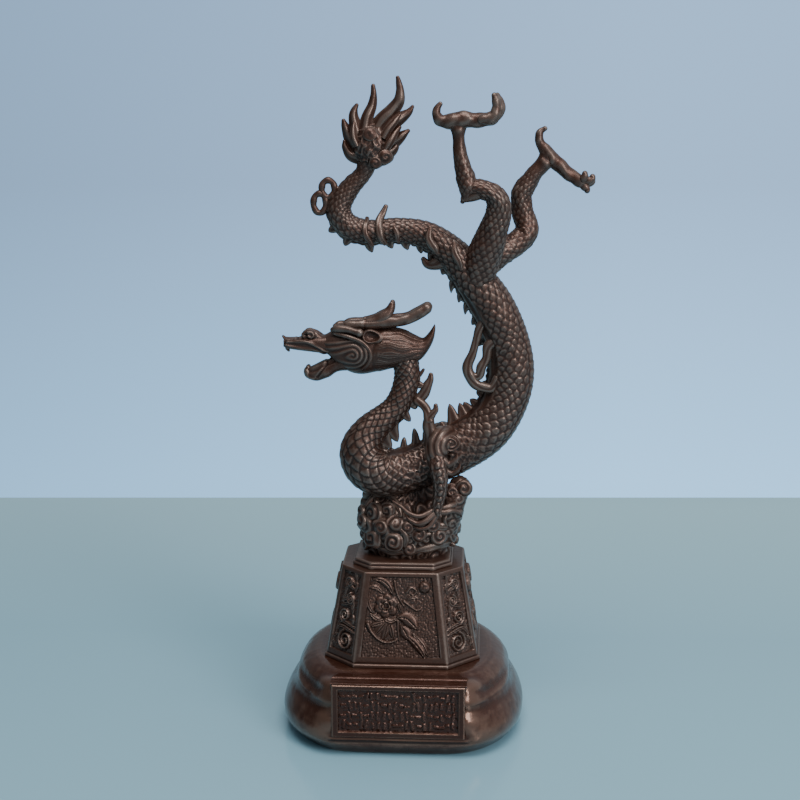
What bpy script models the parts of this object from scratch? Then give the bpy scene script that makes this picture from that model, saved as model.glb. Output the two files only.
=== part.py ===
"""Cast dragon sculpture: a rearing dragon on a heap of clouds, its eight-sided plinth and its wide foot.

Metres, +Z up. The origin is the middle of the foot's underside. The dragon looks along -X, and its
plaque faces -Y. Places along the figure are given in millimetres and turned into metres by MM.
"""
import math

import bmesh
import bpy
import numpy as np

MM = 0.001

# Driving dimensions, in millimetres
TOTAL_HEIGHT = 340.0
JOINT_GAP = 0.3           # left between castings that stand on each other

BASE_HALF_WIDTH = 64.2    # widest, across the bulge of the lower tier
BASE_HALF_DEPTH = 58.2    # to the flat front and back of that bulge
BASE_ROUNDING = 9.8       # how far the round outline would pass those flats
BASE_TOP = 40.0           # flat that the plinth stands on
BASE_SQUARENESS = 2.4     # power of the plan's outline: 2 is an ellipse, more is squarer

PLAQUE_HALF_WIDTH = 33.6
PLAQUE_FACE = 59.2        # how far forward the plaque's frame stands
PLAQUE_BOTTOM = 11.2
PLAQUE_TOP = 39.0
PLAQUE_LEDGE = 9.0        # depth of the step in front of the base's flat top
PLAQUE_FRAME = 3.6
PLAQUE_RECESS = 1.6

PLINTH_TOP = 89.0
PLINTH_TOP_HALF = (31.8, 29.6, 13.0)      # half width, half depth, corner cut
PLINTH_LIP_HALF = (39.9, 37.1, 15.5)
PLINTH_LIP = 42.2                         # height where the sloped sides meet the foot moulding
PANEL_BORDER = 4.2
PANEL_RECESS = 1.2

PLATE_HALF = (26.0, 25.5, 9.5)            # the figure's own plate, cast with it
PLATE_THICKNESS = 3.2

FIGURE_MIDDLE_Y = -5.0    # plane of symmetry of the head

# The body from inside the head to the tip of the tail's bulb: x, y, z, radius
BODY = [
    (0, -5, 201, 6.6), (2.2, -5.5, 186, 6.2), (-4, -7, 171.5, 6.2), (-17.5, -8, 158.8, 8.4),
    (-21.5, -8, 149, 11.2), (-18.5, -7, 140, 12.3), (-9, -4, 135.3, 12.3), (9, 0, 139.5, 11.8),
    (27, 2.5, 149, 12.4), (42, 4.5, 158.5, 12.5), (52, 6, 172, 12.2), (55.5, 6.5, 188, 12.1),
    (53.5, 6, 205, 11.8), (46.5, 4, 223, 11.4), (37, 2.5, 236.5, 10.6), (25.5, 2.5, 249.5, 8.7),
    (12, 2.5, 259.5, 7.1), (-3, 1.5, 262.5, 6.3), (-19, 0.5, 261.6, 6.3), (-30, 0, 265.5, 6.3),
    (-33.8, 0, 274, 6.1), (-28.5, 0, 284.2, 4.9), (-22, 0, 292, 4.1), (-18, 0, 300.5, 6.2),
]

# Limbs, from the root to the tip: x, y, z, radius
NEAR_THIGH = [(37, 0, 238, 9.0), (40.7, -3.5, 250, 9.1), (45, -7.5, 262.5, 7.7),
              (47.8, -10, 274.5, 6.4), (45, -11.3, 281.3, 5.3), (38.5, -11.5, 284.4, 4.6),
              (30.5, -11.5, 284.8, 4.1)]
NEAR_SHANK = [(28.8, -11.5, 277.4, 1.4), (29.8, -11.5, 284, 4.0), (29.7, -11.5, 292, 4.3),
              (27.8, -11.5, 303, 3.4), (27, -11.5, 311, 3.3), (27, -11.5, 317, 3.0)]
NEAR_FOOT = [(18.1, -11.5, 326, 0.6), (15.9, -11.5, 321, 1.6), (18, -11.5, 317.7, 2.6),
             (27, -11.5, 317.2, 3.5), (38, -11.5, 318, 3.7), (44.5, -11.5, 320.6, 3.7),
             (47.5, -11.5, 326, 2.5), (46.3, -11.5, 330.4, 0.8)]
FAR_LEG = [(39, 3, 243, 7.5), (48, 6, 251, 6.9), (56, 9.5, 255.5, 6.3), (62, 12, 262.5, 6.1), (60, 13, 272, 5.0),
           (60, 13, 281, 4.8), (65.5, 13, 291, 4.1), (71, 13, 297, 3.7), (75, 13, 298.5, 2.6)]
FAR_FOOT = [(71.3, 13, 314.9, 0.6), (68.4, 13, 311.5, 1.9), (68.8, 13, 305.5, 2.4),
            (73.5, 13, 299.8, 3.2), (80, 13, 293.8, 3.5), (86.5, 13, 288.6, 3.0), (91.8, 13, 286.2, 3.0)]
SHOULDER = (20, -11.5, 151.5)
FORELEG = [(20.6, -15.5, 154, 4.4), (20.3, -18, 147.5, 4.6), (19, -18.5, 140, 3.9),
           (18, -18, 132.5, 3.4), (16.5, -17.5, 125.5, 3.2), (15, -17.5, 118.5, 3.7)]

# Head and mane: x, height of the middle, half width, half height
UPPER_JAW = [(-28, 205, 8, 6), (-38, 204.5, 7, 5.2), (-47, 204.6, 5.8, 4.4), (-56, 204.2, 4.8, 3.2),
             (-62.7, 204.6, 3.4, 1.9)]
LOWER_JAW = [(-26, 197, 7.5, 6), (-34, 194.6, 6.2, 4.2), (-39, 191.8, 5.4, 4.7),
             (-44.5, 189.4, 4.6, 4.7), (-49.5, 188.5, 3.8, 2.9), (-51.8, 189.3, 2.6, 1.6)]
SKULL = [(-38, 205, 5.5, 6), (-30, 202.6, 9, 11.3), (-18, 202, 10, 12.2), (-6, 202.5, 10, 11.2),
         (3, 202.3, 8, 8.2), (9, 203, 5.6, 5.4), (13, 207, 3.2, 3.4), (15.6, 213.4, 0.8, 0.8)]
HORN = [(-29, 214.5, 4.5, 2.2), (-16, 215.3, 5.5, 2.9), (-7, 217.4, 6.2, 3.1), (3, 219.4, 6.9, 2.5),
        (13.2, 225, 8, 1.8)]                                   # third number: half the spread
HORN_TINE = [(-9, 216.5, 6, 2.4), (-6.6, 221.5, 6.6, 2.0), (-5.5, 225.4, 7.0, 0.8)]

# Licks of the tail's flame: x, y, z, radius
TAIL_FLAME = [
    [(-18.5, 0, 309, 4.4), (-16.2, 0, 319, 2.8), (-15.9, 0, 328, 1.8), (-15.6, 0, 336.2, 0.6)],
    [(-14, 0, 308, 4.6), (-8.5, 0, 320, 3.8), (-2.6, 0, 327.5, 2.1), (-1.9, 0, 334, 1.5),
     (-3.4, 0, TOTAL_HEIGHT - 0.3, 0.5)],
    [(-22, 0, 306, 4), (-25.2, 0, 316, 2.5), (-24, 0, 326.2, 0.7)],
    [(-23, 0, 302, 4), (-28.6, 0, 309, 2.4), (-31, 0, 318.6, 0.6)],
    [(-12, 0, 306, 4.4), (-4, 0, 315.5, 2.9), (4.1, 0, 325, 0.6)],
    [(-12, 0, 301, 4.4), (-5, 0, 307, 3.0), (2.4, 0, 313.2, 0.6)],
    [(-17, 3, 304, 4.4), (-17, 8, 313, 2.6), (-19, 9, 322, 0.7)],
    [(-14, -3, 304, 4.4), (-12, -8, 313, 2.6), (-10, -9, 321, 0.7)],
]

# Fins down the back, on the inside of every bend: place along BODY, height, length, lean to the tail
FINS = [
    (1.1, 4.0, 3, 0.2), (1.5, 3.2, 3, 0.4), (1.9, 3.4, 3, 0.4), (2.45, 4.6, 3.4, 0.8),
    (2.9, 3.6, 3.2, 0.2), (3.4, 3.0, 3.4, 0.2), (5.6, 3.4, 3.4, -0.2), (6.3, 5.0, 3.6, -0.4),
    (6.75, 5.4, 4, -0.4), (7.4, 3.6, 4, -0.4), (7.9, 4.4, 4, -0.5), (8.35, 9.5, 6, -0.3),
    (8.8, 7.5, 5, -0.2), (9.25, 7.0, 5, 0.3), (9.75, 5.0, 4.4, 0.4), (10.3, 3.8, 4.4, 0.4),
    (12.9, 3.2, 4, -0.4), (13.55, 5.0, 4.4, -0.9), (14.1, 4.4, 4.2, -0.9), (14.7, 2.6, 4, 0.0),
    (15.4, 4.6, 4.6, 0.5), (16.1, 3.4, 4, 0.6), (16.7, 3.0, 4, 0.6), (17.3, 2.2, 4, 0.4),
    (18.2, 3.2, 4, 0.0), (18.9, 2.6, 4, 0.3), (19.6, 2.8, 4, 0.5), (20.3, 2.2, 3.6, 0.3),
]

# Whiskers and ribbons that leave the body: x, y, z, radius
RIBBONS = [
    [(4, -5, 176, 2.6), (9.8, -5, 179.5, 2.3), (13.3, -5, 184.5, 1.7), (13.8, -5, 190.4, 0.6)],
    [(15, -8, 149, 3), (12.7, -11, 160, 2.4), (13.6, -11, 169, 2.0), (16, -11, 174.4, 0.9)],
    [(42, -1, 220, 2.6), (37.4, -1, 207, 2.1), (33.4, -1, 197, 2.4), (34, -1, 187, 2.6),
     (40, -1, 180.6, 2.6), (48, -1, 184, 2.8)],
    [(49, -1, 207, 2.8), (42.4, -1, 199.5, 2.4), (40.4, -1, 191, 2.4), (34.2, -1, 189.2, 2.0)],
    [(-12, 0, 262, 2.4), (-11.4, 0, 269.5, 1.5), (-8.9, 0, 275.6, 0.6)],
    [(10, 0, 256, 4), (12, 0, 248.5, 2.2), (8.4, 0, 246.8, 1.0)],
]
# Small rings of whisker at the bend of the tail: middle x, y, z, half width, half height, radius
RINGS = [(-38.8, 0, 283.0, 3.1, 4.0, 1.5), (-43.0, 0, 275.6, 3.1, 4.4, 1.5)]

# Talons of a hand that presses on the clouds, from its palm: x, y, z of the tip
HAND_TALONS = [(-3, -22, 118), (4, -24.5, 112.5), (16, -25, 110.5), (27, -20.5, 114.5)]

# Cloud heap: outline by height (z, middle x, half width, half depth), then round scrolls on it
CLOUD_CORE = [(91.0, 2, 20, 17), (96.0, 2, 20.5, 17.5), (100, 2, 23.5, 20), (108, 3, 23, 20),
              (117, 4, 21.5, 19.5), (125, 6, 18, 17), (131, 8, 12, 12)]
CLOUD_MIDDLE_X = 3.0
CLOUD_SCROLLS = [   # x, y, z, radius; each faces outward from the middle of the heap
    (-17, -13, 111, 6.5), (-9, -17, 115, 5.5), (-16.5, -15, 101, 6.2), (-5, -19, 100, 4.8),
    (7, -19.5, 101, 4.2), (17, -18, 101, 5.2), (22.5, -14.5, 109, 5.6), (26, -9, 101, 4.6),
    (-22, -5, 107, 4.2), (27.5, -3, 127, 6.8), (26.5, 2, 114, 5.6), (25.5, 8, 102, 5.2),
    (-19.5, 9, 103, 5.6), (-18.5, 10, 113, 5.8), (-8, 18, 102, 5.6), (-8, 16, 114, 5.6),
    (7, 19, 102, 5.4), (9, 19, 113, 5.6), (18, 15, 102, 5.6), (20, 13, 115, 6.2),
]

DARK_BRONZE = (0.085, 0.045, 0.032, 1.0)


def clear_scene():
    for item in list(bpy.data.objects):
        bpy.data.objects.remove(item, do_unlink=True)


def bronze(name, roughness):
    material = bpy.data.materials.new(name)
    material.use_nodes = True
    shader = material.node_tree.nodes["Principled BSDF"]
    shader.inputs["Base Color"].default_value = DARK_BRONZE
    shader.inputs["Metallic"].default_value = 0.8
    shader.inputs["Roughness"].default_value = roughness
    return material


def mesh_object(name, points, faces):
    """An object from points in millimetres."""
    mesh = bpy.data.meshes.new(name)
    mesh.from_pydata([tuple(MM * value for value in point) for point in points], [], faces)
    shape = bmesh.new()
    shape.from_mesh(mesh)
    bmesh.ops.recalc_face_normals(shape, faces=shape.faces)
    shape.to_mesh(mesh)
    shape.free()
    item = bpy.data.objects.new(name, mesh)
    bpy.context.scene.collection.objects.link(item)
    return item


def stack_rings(name, rings):
    """A closed solid that joins rings of equally many points, first to last, and caps both ends."""
    count = len(rings[0])
    points = [point for ring in rings for point in ring]
    faces = [list(range(count)), list(range(len(points) - count, len(points)))]
    for level in range(len(rings) - 1):
        for side in range(count):
            low, next_low = level * count + side, level * count + (side + 1) % count
            faces.append([low, next_low, next_low + count, low + count])
    return mesh_object(name, points, faces)


# ---- Tubes that follow a smooth curve through their stations

def smooth(stations, steps):
    """A Catmull-Rom curve through the stations, with so many steps from each to the next."""
    rows = np.array(stations, dtype=float)
    rows = np.vstack([2 * rows[0] - rows[1], rows, 2 * rows[-1] - rows[-2]])
    curve = []
    for a, b, c, d in zip(rows, rows[1:], rows[2:], rows[3:]):
        for t in np.arange(steps) / steps:
            curve.append(0.5 * (2 * b + (c - a) * t + (2 * a - 5 * b + 4 * c - d) * t ** 2
                                + (3 * b - a - 3 * c + d) * t ** 3))
    curve.append(rows[-2])
    return np.array(curve)


def frames(centres, closed=False):
    """Unit vectors along a path, across it near Y, and to its back, which is along x across."""
    if closed:
        along = np.roll(centres, -1, axis=0) - np.roll(centres, 1, axis=0)
    else:
        along = np.gradient(centres, axis=0)
    along /= np.linalg.norm(along, axis=1)[:, None]
    across = np.array([0.0, 1.0, 0.0]) - along[:, 1:2] * along
    across /= np.linalg.norm(across, axis=1)[:, None]
    return along, across, np.cross(along, across)


def tube(name, stations, sides=8, steps=3, flat=1.0):
    """A tube through x, y, z, radius; flat is its width over its height."""
    curve = smooth(stations, steps)
    _, across, back = frames(curve[:, :3])
    turns = 2 * math.pi * np.arange(sides) / sides
    rings = [[centre + radius * (flat * math.cos(turn) * a + math.sin(turn) * b) for turn in turns]
             for centre, radius, a, b in zip(curve[:, :3], curve[:, 3], across, back)]
    return stack_rings(name, rings)


def head_loft(name, stations, sides=10, steps=2):
    """A form through x, height of the middle, half width, half height, in upright sections."""
    rings = []
    for x, middle, width, height in smooth(stations, steps):
        rings.append([(x, FIGURE_MIDDLE_Y + width * math.cos(turn), middle + height * math.sin(turn))
                      for turn in 2 * math.pi * (np.arange(sides) + 0.5) / sides])
    return stack_rings(name, rings)


def horn_pair(name, stations):
    """Two mirrored tubes from x, z, half the spread, radius."""
    return [tube(f"{name}_{side}", [(x, FIGURE_MIDDLE_Y + sign * spread, z, radius)
                                    for x, z, spread, radius in stations], sides=7, steps=2)
            for side, sign in (("near", -1), ("far", 1))]


def ring_tube(name, middle, half_width, half_height, radius, count=12, sides=6):
    """A closed loop of tube that lies in the X-Z plane."""
    turns = 2 * math.pi * np.arange(count) / count
    centres = np.stack([middle[0] + half_width * np.cos(turns), np.full(count, middle[1]),
                        middle[2] + half_height * np.sin(turns)], axis=1)
    _, across, back = frames(centres, closed=True)
    points, faces = [], []
    for i in range(count):
        for j in range(sides):
            turn = 2 * math.pi * j / sides
            points.append(centres[i] + radius * (math.cos(turn) * across[i] + math.sin(turn) * back[i]))
            after, beside = (i + 1) % count, (j + 1) % sides
            faces.append([i * sides + j, i * sides + beside, after * sides + beside, after * sides + j])
    return mesh_object(name, points, faces)


def ball(name, middle, radii, segments=10, rings=6):
    shape = bmesh.new()
    bmesh.ops.create_uvsphere(shape, u_segments=segments, v_segments=rings, radius=1.0)
    for vert in shape.verts:
        vert.co = [MM * (centre + radius * value)
                   for centre, radius, value in zip(middle, radii, vert.co)]
    mesh = bpy.data.meshes.new(name)
    shape.to_mesh(mesh)
    shape.free()
    item = bpy.data.objects.new(name, mesh)
    bpy.context.scene.collection.objects.link(item)
    return item


def fuse(name, pieces, material, keep=1.0):
    """One body from overlapping pieces, by an exact union, keeping a share of its triangles."""
    body, others = pieces[0], pieces[1:]
    body.name = name
    helpers = bpy.data.collections.new(name + " parts")
    bpy.context.scene.collection.children.link(helpers)
    for item in others:
        bpy.context.scene.collection.objects.unlink(item)
        helpers.objects.link(item)
        item.hide_render = True
        item.display_type = "WIRE"
    union = body.modifiers.new("Join the casting", "BOOLEAN")
    union.operation = "UNION"
    union.solver = "EXACT"
    union.operand_type = "COLLECTION"
    union.collection = helpers
    if keep < 1.0:
        thin_out = body.modifiers.new("Thin out the seams", "DECIMATE")
        thin_out.ratio = keep
    body.data.materials.append(material)
    body.data.shade_smooth()
    body.data.set_sharp_from_angle(angle=math.radians(50))
    return body


# ---- Dragon

def fins(body_stations):
    """A leaning blade at each place in FINS, its root sunk into the body."""
    steps = 20
    curve = smooth(body_stations, steps)
    along, across, back = frames(curve[:, :3])
    blades = []
    for number, (place, height, length, lean) in enumerate(FINS):
        i = round(place * steps)
        centre, radius = curve[i, :3], curve[i, 3]
        root = centre + (radius - 2.0) * back[i]
        tip = centre + (radius + height) * back[i] + lean * height * along[i]
        half = 0.5 * length * along[i]
        thick = 1.3 * across[i]
        points = [root - half, root - thick, root + half, root + thick, tip]
        faces = [[3, 2, 1, 0], [0, 1, 4], [1, 2, 4], [2, 3, 4], [3, 0, 4]]
        blades.append(mesh_object(f"fin_{number}", points, faces))
    return blades


def talon(name, root, tip, rise, radius):
    """A claw that arches from its root up and over to its tip."""
    root, tip = np.array(root, float), np.array(tip, float)
    crest = 0.45 * root + 0.55 * tip + np.array([0, 0, rise])
    stations = [(*root, radius), (*crest, 0.8 * radius), (*tip, 0.3 * radius)]
    return tube(name, stations, sides=6, steps=2)


def mirrored(stations, middle_y):
    return [(row[0], 2 * middle_y - row[1], *row[2:]) for row in stations]


def hands():
    """The forelegs on both sides of the belly, and the talons that hold the clouds."""
    belly_middle = 2.0
    made = []
    for side in ("near", "far"):
        leg = FORELEG if side == "near" else mirrored(FORELEG, belly_middle)
        tips = HAND_TALONS if side == "near" else mirrored(HAND_TALONS, belly_middle)
        made.append(tube(f"foreleg_{side}", leg, sides=8, steps=2))
        made.append(ball(f"shoulder_{side}", mirrored([SHOULDER], belly_middle)[0] if side == "far"
                         else SHOULDER, (6, 5.5, 6), 8, 5))
        palm = np.array(leg[-1][:3])
        for number, tip in enumerate(tips):
            root = palm - 0.1 * (np.array(tip) - palm) + (0, 0, 2.0)
            made.append(talon(f"talon_{side}_{number}", root, tip, 2.0, 2.1))
    return made


def feet():
    """The hind legs, which kick up behind, and their toes."""
    made = [
        tube("thigh_near", NEAR_THIGH, sides=10, steps=2),
        tube("shank_near", NEAR_SHANK, sides=8, steps=2),
        tube("foot_near", NEAR_FOOT, sides=8, steps=2),
        tube("leg_far", FAR_LEG, sides=10, steps=2), tube("foot_far", FAR_FOOT, sides=8, steps=2),
    ]
    for number, spread in enumerate((-1, 1)):
        toe = [(37, -11.5 + 1.5 * spread, 318, 2.8), (44, -11.5 + 4 * spread, 320, 2.6),
               (46, -11.5 + 5.5 * spread, 325, 1.9), (44.5, -11.5 + 6 * spread, 328.5, 0.7)]
        made.append(tube(f"toe_near_{number}", toe, sides=6, steps=2))
    for number, (x, y, z) in enumerate([(91.2, 13, 291.6), (96.4, 11, 290.4), (97, 16, 287),
                                        (94.8, 13, 281.8)]):
        toe = [(90.5, 13, 286.4, 2.4), ((x + 91.5) / 2 + 0.8, (y + 13) / 2, (z + 286.4) / 2, 1.7),
               (x, y, z, 0.7)]
        made.append(tube(f"toe_far_{number}", toe, sides=6, steps=2))
    return made


def head():
    made = [head_loft("skull", SKULL, sides=12), head_loft("upper_jaw", UPPER_JAW),
            head_loft("lower_jaw", LOWER_JAW)]
    made += horn_pair("horn", HORN) + horn_pair("tine", HORN_TINE)
    for side, sign in (("near", -1), ("far", 1)):
        made.append(ball(f"brow_{side}", (-31, FIGURE_MIDDLE_Y + 5.5 * sign, 210.6), (6.5, 3.4, 3.8)))
        made.append(ball(f"nostril_{side}", (-49, FIGURE_MIDDLE_Y + 2.6 * sign, 208.6), (3.4, 2.6, 3.6)))
        made.append(ball(f"ear_{side}", (-16, FIGURE_MIDDLE_Y + 9 * sign, 209.5), (5.5, 2.4, 3.4)))
    return made


def scroll(name, middle, radius):
    """A cloud's curl: a rounded drum with a groove and a knob on the side that faces outward."""
    outward = middle - (CLOUD_MIDDLE_X, 0, middle[2] - 1.5)
    outward /= np.linalg.norm(outward)
    sideways = np.cross(outward, (0, 0, 1))
    sideways /= np.linalg.norm(sideways)
    upward = np.cross(sideways, outward)
    profile = [(0.7, -0.9), (1.0, -0.1), (0.82, 0.55), (0.52, 0.3), (0.3, 0.75)]    # radius, height
    turns = 2 * math.pi * np.arange(8) / 8
    rings = [[middle + radius * (rise * outward + reach * (math.cos(turn) * sideways
                                                           + math.sin(turn) * upward))
              for turn in turns] for reach, rise in profile]
    return stack_rings(name, rings)


def clouds():
    turns = 2 * math.pi * np.arange(18) / 18
    core = [[(x + width * math.cos(turn), depth * math.sin(turn), z) for turn in turns]
            for z, x, width, depth in CLOUD_CORE]
    made = [stack_rings("cloud_core", core)]
    for number, (x, y, z, radius) in enumerate(CLOUD_SCROLLS):
        made.append(scroll(f"cloud_scroll_{number}", np.array([x, y, z]), radius))
    return made


def make_dragon():
    body = tube("dragon", BODY, sides=12, steps=3)
    tail_bulb = ball("tail_bulb", (-17.3, 0, 303), (11.4, 8.5, 10), segments=12, rings=8)
    licks = [tube(f"lick_{i}", rows, sides=6, steps=2) for i, rows in enumerate(TAIL_FLAME)]
    ribbons = [tube(f"ribbon_{i}", rows, sides=6, steps=2) for i, rows in enumerate(RIBBONS)]
    rings = [ring_tube(f"ring_{i}", row[:3], *row[3:]) for i, row in enumerate(RINGS)]
    low = PLINTH_TOP + JOINT_GAP
    plate = stack_rings("plate", [
        octagon(*PLATE_HALF, low), octagon(*PLATE_HALF, low + 0.45 * PLATE_THICKNESS),
        octagon(*(size - 1.1 for size in PLATE_HALF), low + 0.5 * PLATE_THICKNESS),
        octagon(*(size - 1.1 for size in PLATE_HALF), low + PLATE_THICKNESS)])
    pieces = [body, tail_bulb, plate]
    pieces += fins(BODY) + head() + hands() + feet() + licks + ribbons + rings + clouds()
    return fuse("dragon", pieces, bronze("bronze_figure", 0.42), keep=0.78)


# ---- Plinth and foot

def octagon(half_width, half_depth, cut, z):
    """Corners of an oblong with its corners cut off, from the right front, anticlockwise."""
    w, d = half_width, half_depth
    corners = [(w, -d + cut), (w, d - cut), (w - cut, d), (-w + cut, d),
               (-w, d - cut), (-w, -d + cut), (-w + cut, -d), (w - cut, -d)]
    return [(x, y, z) for x, y in corners]


def make_plinth():
    """A tapered eight-sided block on a low moulding, with a sunk panel in each side."""
    foot = tuple(size + 1.0 for size in PLINTH_LIP_HALF)
    low = BASE_TOP + JOINT_GAP
    levels = [(foot, low), (foot, PLINTH_LIP - 0.6), (PLINTH_LIP_HALF, PLINTH_LIP),
              (PLINTH_TOP_HALF, PLINTH_TOP)]
    block = stack_rings("plinth", [octagon(*sizes, z) for sizes, z in levels])
    shape = bmesh.new()
    shape.from_mesh(block.data)
    shape.faces.ensure_lookup_table()
    rise = PLINTH_TOP - PLINTH_LIP
    sides = [face for face in shape.faces
             if face.calc_center_median().z > MM * (PLINTH_LIP + 0.3 * rise) and abs(face.normal.z) < 0.5]
    bmesh.ops.inset_individual(shape, faces=sides, thickness=MM * PANEL_BORDER, depth=0)
    bmesh.ops.inset_individual(shape, faces=sides, thickness=MM * 0.5, depth=-MM * PANEL_RECESS)
    shape.to_mesh(block.data)
    shape.free()
    block.data.materials.append(bronze("bronze_plinth", 0.38))
    return block


def base_plan(inward, z, count=40):
    """A squarish rounded outline, cut straight at the front and the back."""
    width, flat = BASE_HALF_WIDTH - inward, BASE_HALF_DEPTH - inward
    ring = []
    for turn in 2 * math.pi * (np.arange(count) + 0.5) / count:
        x, y = math.cos(turn), math.sin(turn)
        reach = (abs(x) ** BASE_SQUARENESS + abs(y) ** BASE_SQUARENESS) ** (-1 / BASE_SQUARENESS)
        depth = min((flat + BASE_ROUNDING) * reach * abs(y), flat)
        ring.append((width * reach * x, math.copysign(depth, y), z))
    return ring


def make_base():
    """The wide foot in two rounded tiers, with a framed plaque standing out of its front."""
    profile = [(0, 6.5), (3, 2.8), (9, 0), (14, 0.2), (20, 3.0), (26, 7.8), (27.2, 6.8), (31, 8.0),
               (35, 10.6), (38.4, 14.2), (BASE_TOP, 18.2)]
    foot = stack_rings("foot", [base_plan(inward, z) for z, inward in profile])

    side = [(-PLAQUE_FACE, PLAQUE_BOTTOM), (-PLAQUE_FACE, PLAQUE_TOP),
            (-PLAQUE_FACE + PLAQUE_LEDGE, PLAQUE_TOP), (-PLAQUE_FACE + PLAQUE_LEDGE + 1, BASE_TOP - 0.3),
            (-40, BASE_TOP - 0.3), (-35, PLAQUE_BOTTOM - 1)]
    block = stack_rings("plaque", [[(x, y, z) for y, z in side]
                                   for x in (-PLAQUE_HALF_WIDTH, PLAQUE_HALF_WIDTH)])
    shape = bmesh.new()
    shape.from_mesh(block.data)
    shape.faces.ensure_lookup_table()
    front = [face for face in shape.faces if face.normal.y < -0.9]
    bmesh.ops.inset_individual(shape, faces=front, thickness=MM * PLAQUE_FRAME, depth=0)
    bmesh.ops.inset_individual(shape, faces=front, thickness=MM * 0.4, depth=-MM * PLAQUE_RECESS)
    shape.to_mesh(block.data)
    shape.free()
    return fuse("base", [foot, block], bronze("bronze_base", 0.32))


clear_scene()
make_base()
make_plinth()
make_dragon()
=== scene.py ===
import math

import bpy
import numpy as np
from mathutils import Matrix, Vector


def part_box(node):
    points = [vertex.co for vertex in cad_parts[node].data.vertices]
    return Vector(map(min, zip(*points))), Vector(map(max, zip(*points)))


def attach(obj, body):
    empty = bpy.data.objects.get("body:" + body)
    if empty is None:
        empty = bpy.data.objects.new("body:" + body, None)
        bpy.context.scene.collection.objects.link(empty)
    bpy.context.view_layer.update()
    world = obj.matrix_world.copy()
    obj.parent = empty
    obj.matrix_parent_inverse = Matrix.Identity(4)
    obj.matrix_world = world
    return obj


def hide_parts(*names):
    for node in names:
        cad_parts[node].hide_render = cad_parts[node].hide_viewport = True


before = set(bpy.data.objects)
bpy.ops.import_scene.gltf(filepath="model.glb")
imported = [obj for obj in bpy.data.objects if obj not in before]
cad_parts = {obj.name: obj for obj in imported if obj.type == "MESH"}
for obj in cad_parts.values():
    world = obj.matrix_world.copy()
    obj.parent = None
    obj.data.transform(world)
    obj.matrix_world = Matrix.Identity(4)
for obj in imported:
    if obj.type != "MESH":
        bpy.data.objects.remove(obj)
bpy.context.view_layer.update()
print("frame loaded:", ", ".join(sorted(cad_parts)))

# The casting is drawn in millimetres from the middle of the foot's underside. Two of its own measures,
# found again in the frame, give the length of a drawn millimetre and where that middle is.
plateHeight, footHalfDepth = 89.3, 58.2
baseLow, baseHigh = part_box("base")
mm = (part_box("dragon")[0].z - baseLow.z) / plateHeight
middle = np.array([(baseLow.x + baseHigh.x) / 2, baseHigh.y - footHalfDepth * mm, baseLow.z])
headMiddleY = -5.0        # the head is the same on both sides of this


# Curves, frames and closed skins

def curveThrough(stations, spacing):
    # Catmull-Rom: each stretch is the cubic that leaves its two stations parallel to the chord between
    # their neighbours. It is then read at even steps of its length. Gives rows, lengths, station numbers.
    rows = np.array(stations, float)
    ends = np.vstack([2 * rows[:1] - rows[1:2], rows, 2 * rows[-1:] - rows[-2:-1]])
    a, b, c, d = (ends[k:len(ends) - 3 + k, None] for k in range(4))
    t = (np.arange(80) / 80)[None, :, None]
    fine = 0.5 * (2 * b + (c - a) * t + (2 * a - 5 * b + 4 * c - d) * t ** 2
                  + (3 * b - a - 3 * c + d) * t ** 3)
    station = (np.arange(len(rows) - 1)[:, None] + t[..., 0]).ravel()
    station = np.append(station, len(rows) - 1.0)
    fine = np.vstack([fine.reshape(-1, rows.shape[1]), rows[-1]])
    length = np.append(0, np.cumsum(np.linalg.norm(np.diff(fine[:, :3], axis=0), axis=1)))
    even = np.linspace(0, length[-1], max(int(length[-1] / spacing) + 1, 4))
    curve = np.stack([np.interp(even, length, column) for column in fine.T], axis=1)
    return curve, even, np.interp(even, length, station)


def atDepth(y, places):
    # stations that share one y, from their x, z and radius
    return [(x, y, z, radius) for x, z, radius in places]


def unit(vectors):
    return vectors / np.maximum(np.linalg.norm(vectors, axis=-1, keepdims=True), 1e-9)


def framesAlong(centres):
    # along the path, across it (as near to +Y as it can be), and to its back: along x across
    along = unit(np.gradient(centres, axis=0))
    across = unit(np.array([0.0, 1.0, 0.0]) - along[:, 1:2] * along)
    return along, across, np.cross(along, across)


def ease(value, low, high):
    # 0 below low, 1 above high, and a smooth S between them
    t = np.clip((value - low) / (high - low), 0, 1)
    return t * t * (3 - 2 * t)


def hump(value, centre, width):
    return np.exp(-((value - centre) / width) ** 2)


def dome(share):
    # a round rise: 1 in the middle, 0 where the share is 1 and beyond
    return np.sqrt(np.maximum(1 - share ** 2, 0))


def stepsRound(count):
    # even steps of a full turn
    return 2 * np.pi * np.arange(count) / count


def fromBack(turn):
    # the same turn counted both ways from the back, from minus half a turn to half a turn
    return (turn + np.pi) % (2 * np.pi) - np.pi


def dice(*numbers):
    # a repeatable number from 0 to 1 for each whole-numbered place
    seed = sum(number * k for number, k in zip(numbers, (12.9898, 78.233, 37.719))) + 0.7
    mixed = 43758.5453 * np.sin(seed)
    return mixed - np.floor(mixed)


def lumps(x, y, z, size):
    # value noise: a dice throw at each corner of a lattice of so many millimetres, blended smoothly
    places = [np.asarray(value, float) / size for value in (x, y, z)]
    whole = [np.floor(value) for value in places]
    part = [value - low for value, low in zip(places, whole)]
    part = [value * value * (3 - 2 * value) for value in part]
    total = 0
    for corner in range(8):
        steps = (corner & 1, corner >> 1 & 1, corner >> 2 & 1)
        weight = 1.0
        for step, value in zip(steps, part):
            weight = weight * (value if step else 1 - value)
        total = total + weight * dice(*(low + step for low, step in zip(whole, steps)))
    return total


def knots(x, y, z, size):
    # crinkled ridges: they run where the noise passes through its middle value
    return np.clip(1 - 5 * np.abs(lumps(x, y, z, size) - 0.5), 0, 1)


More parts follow.
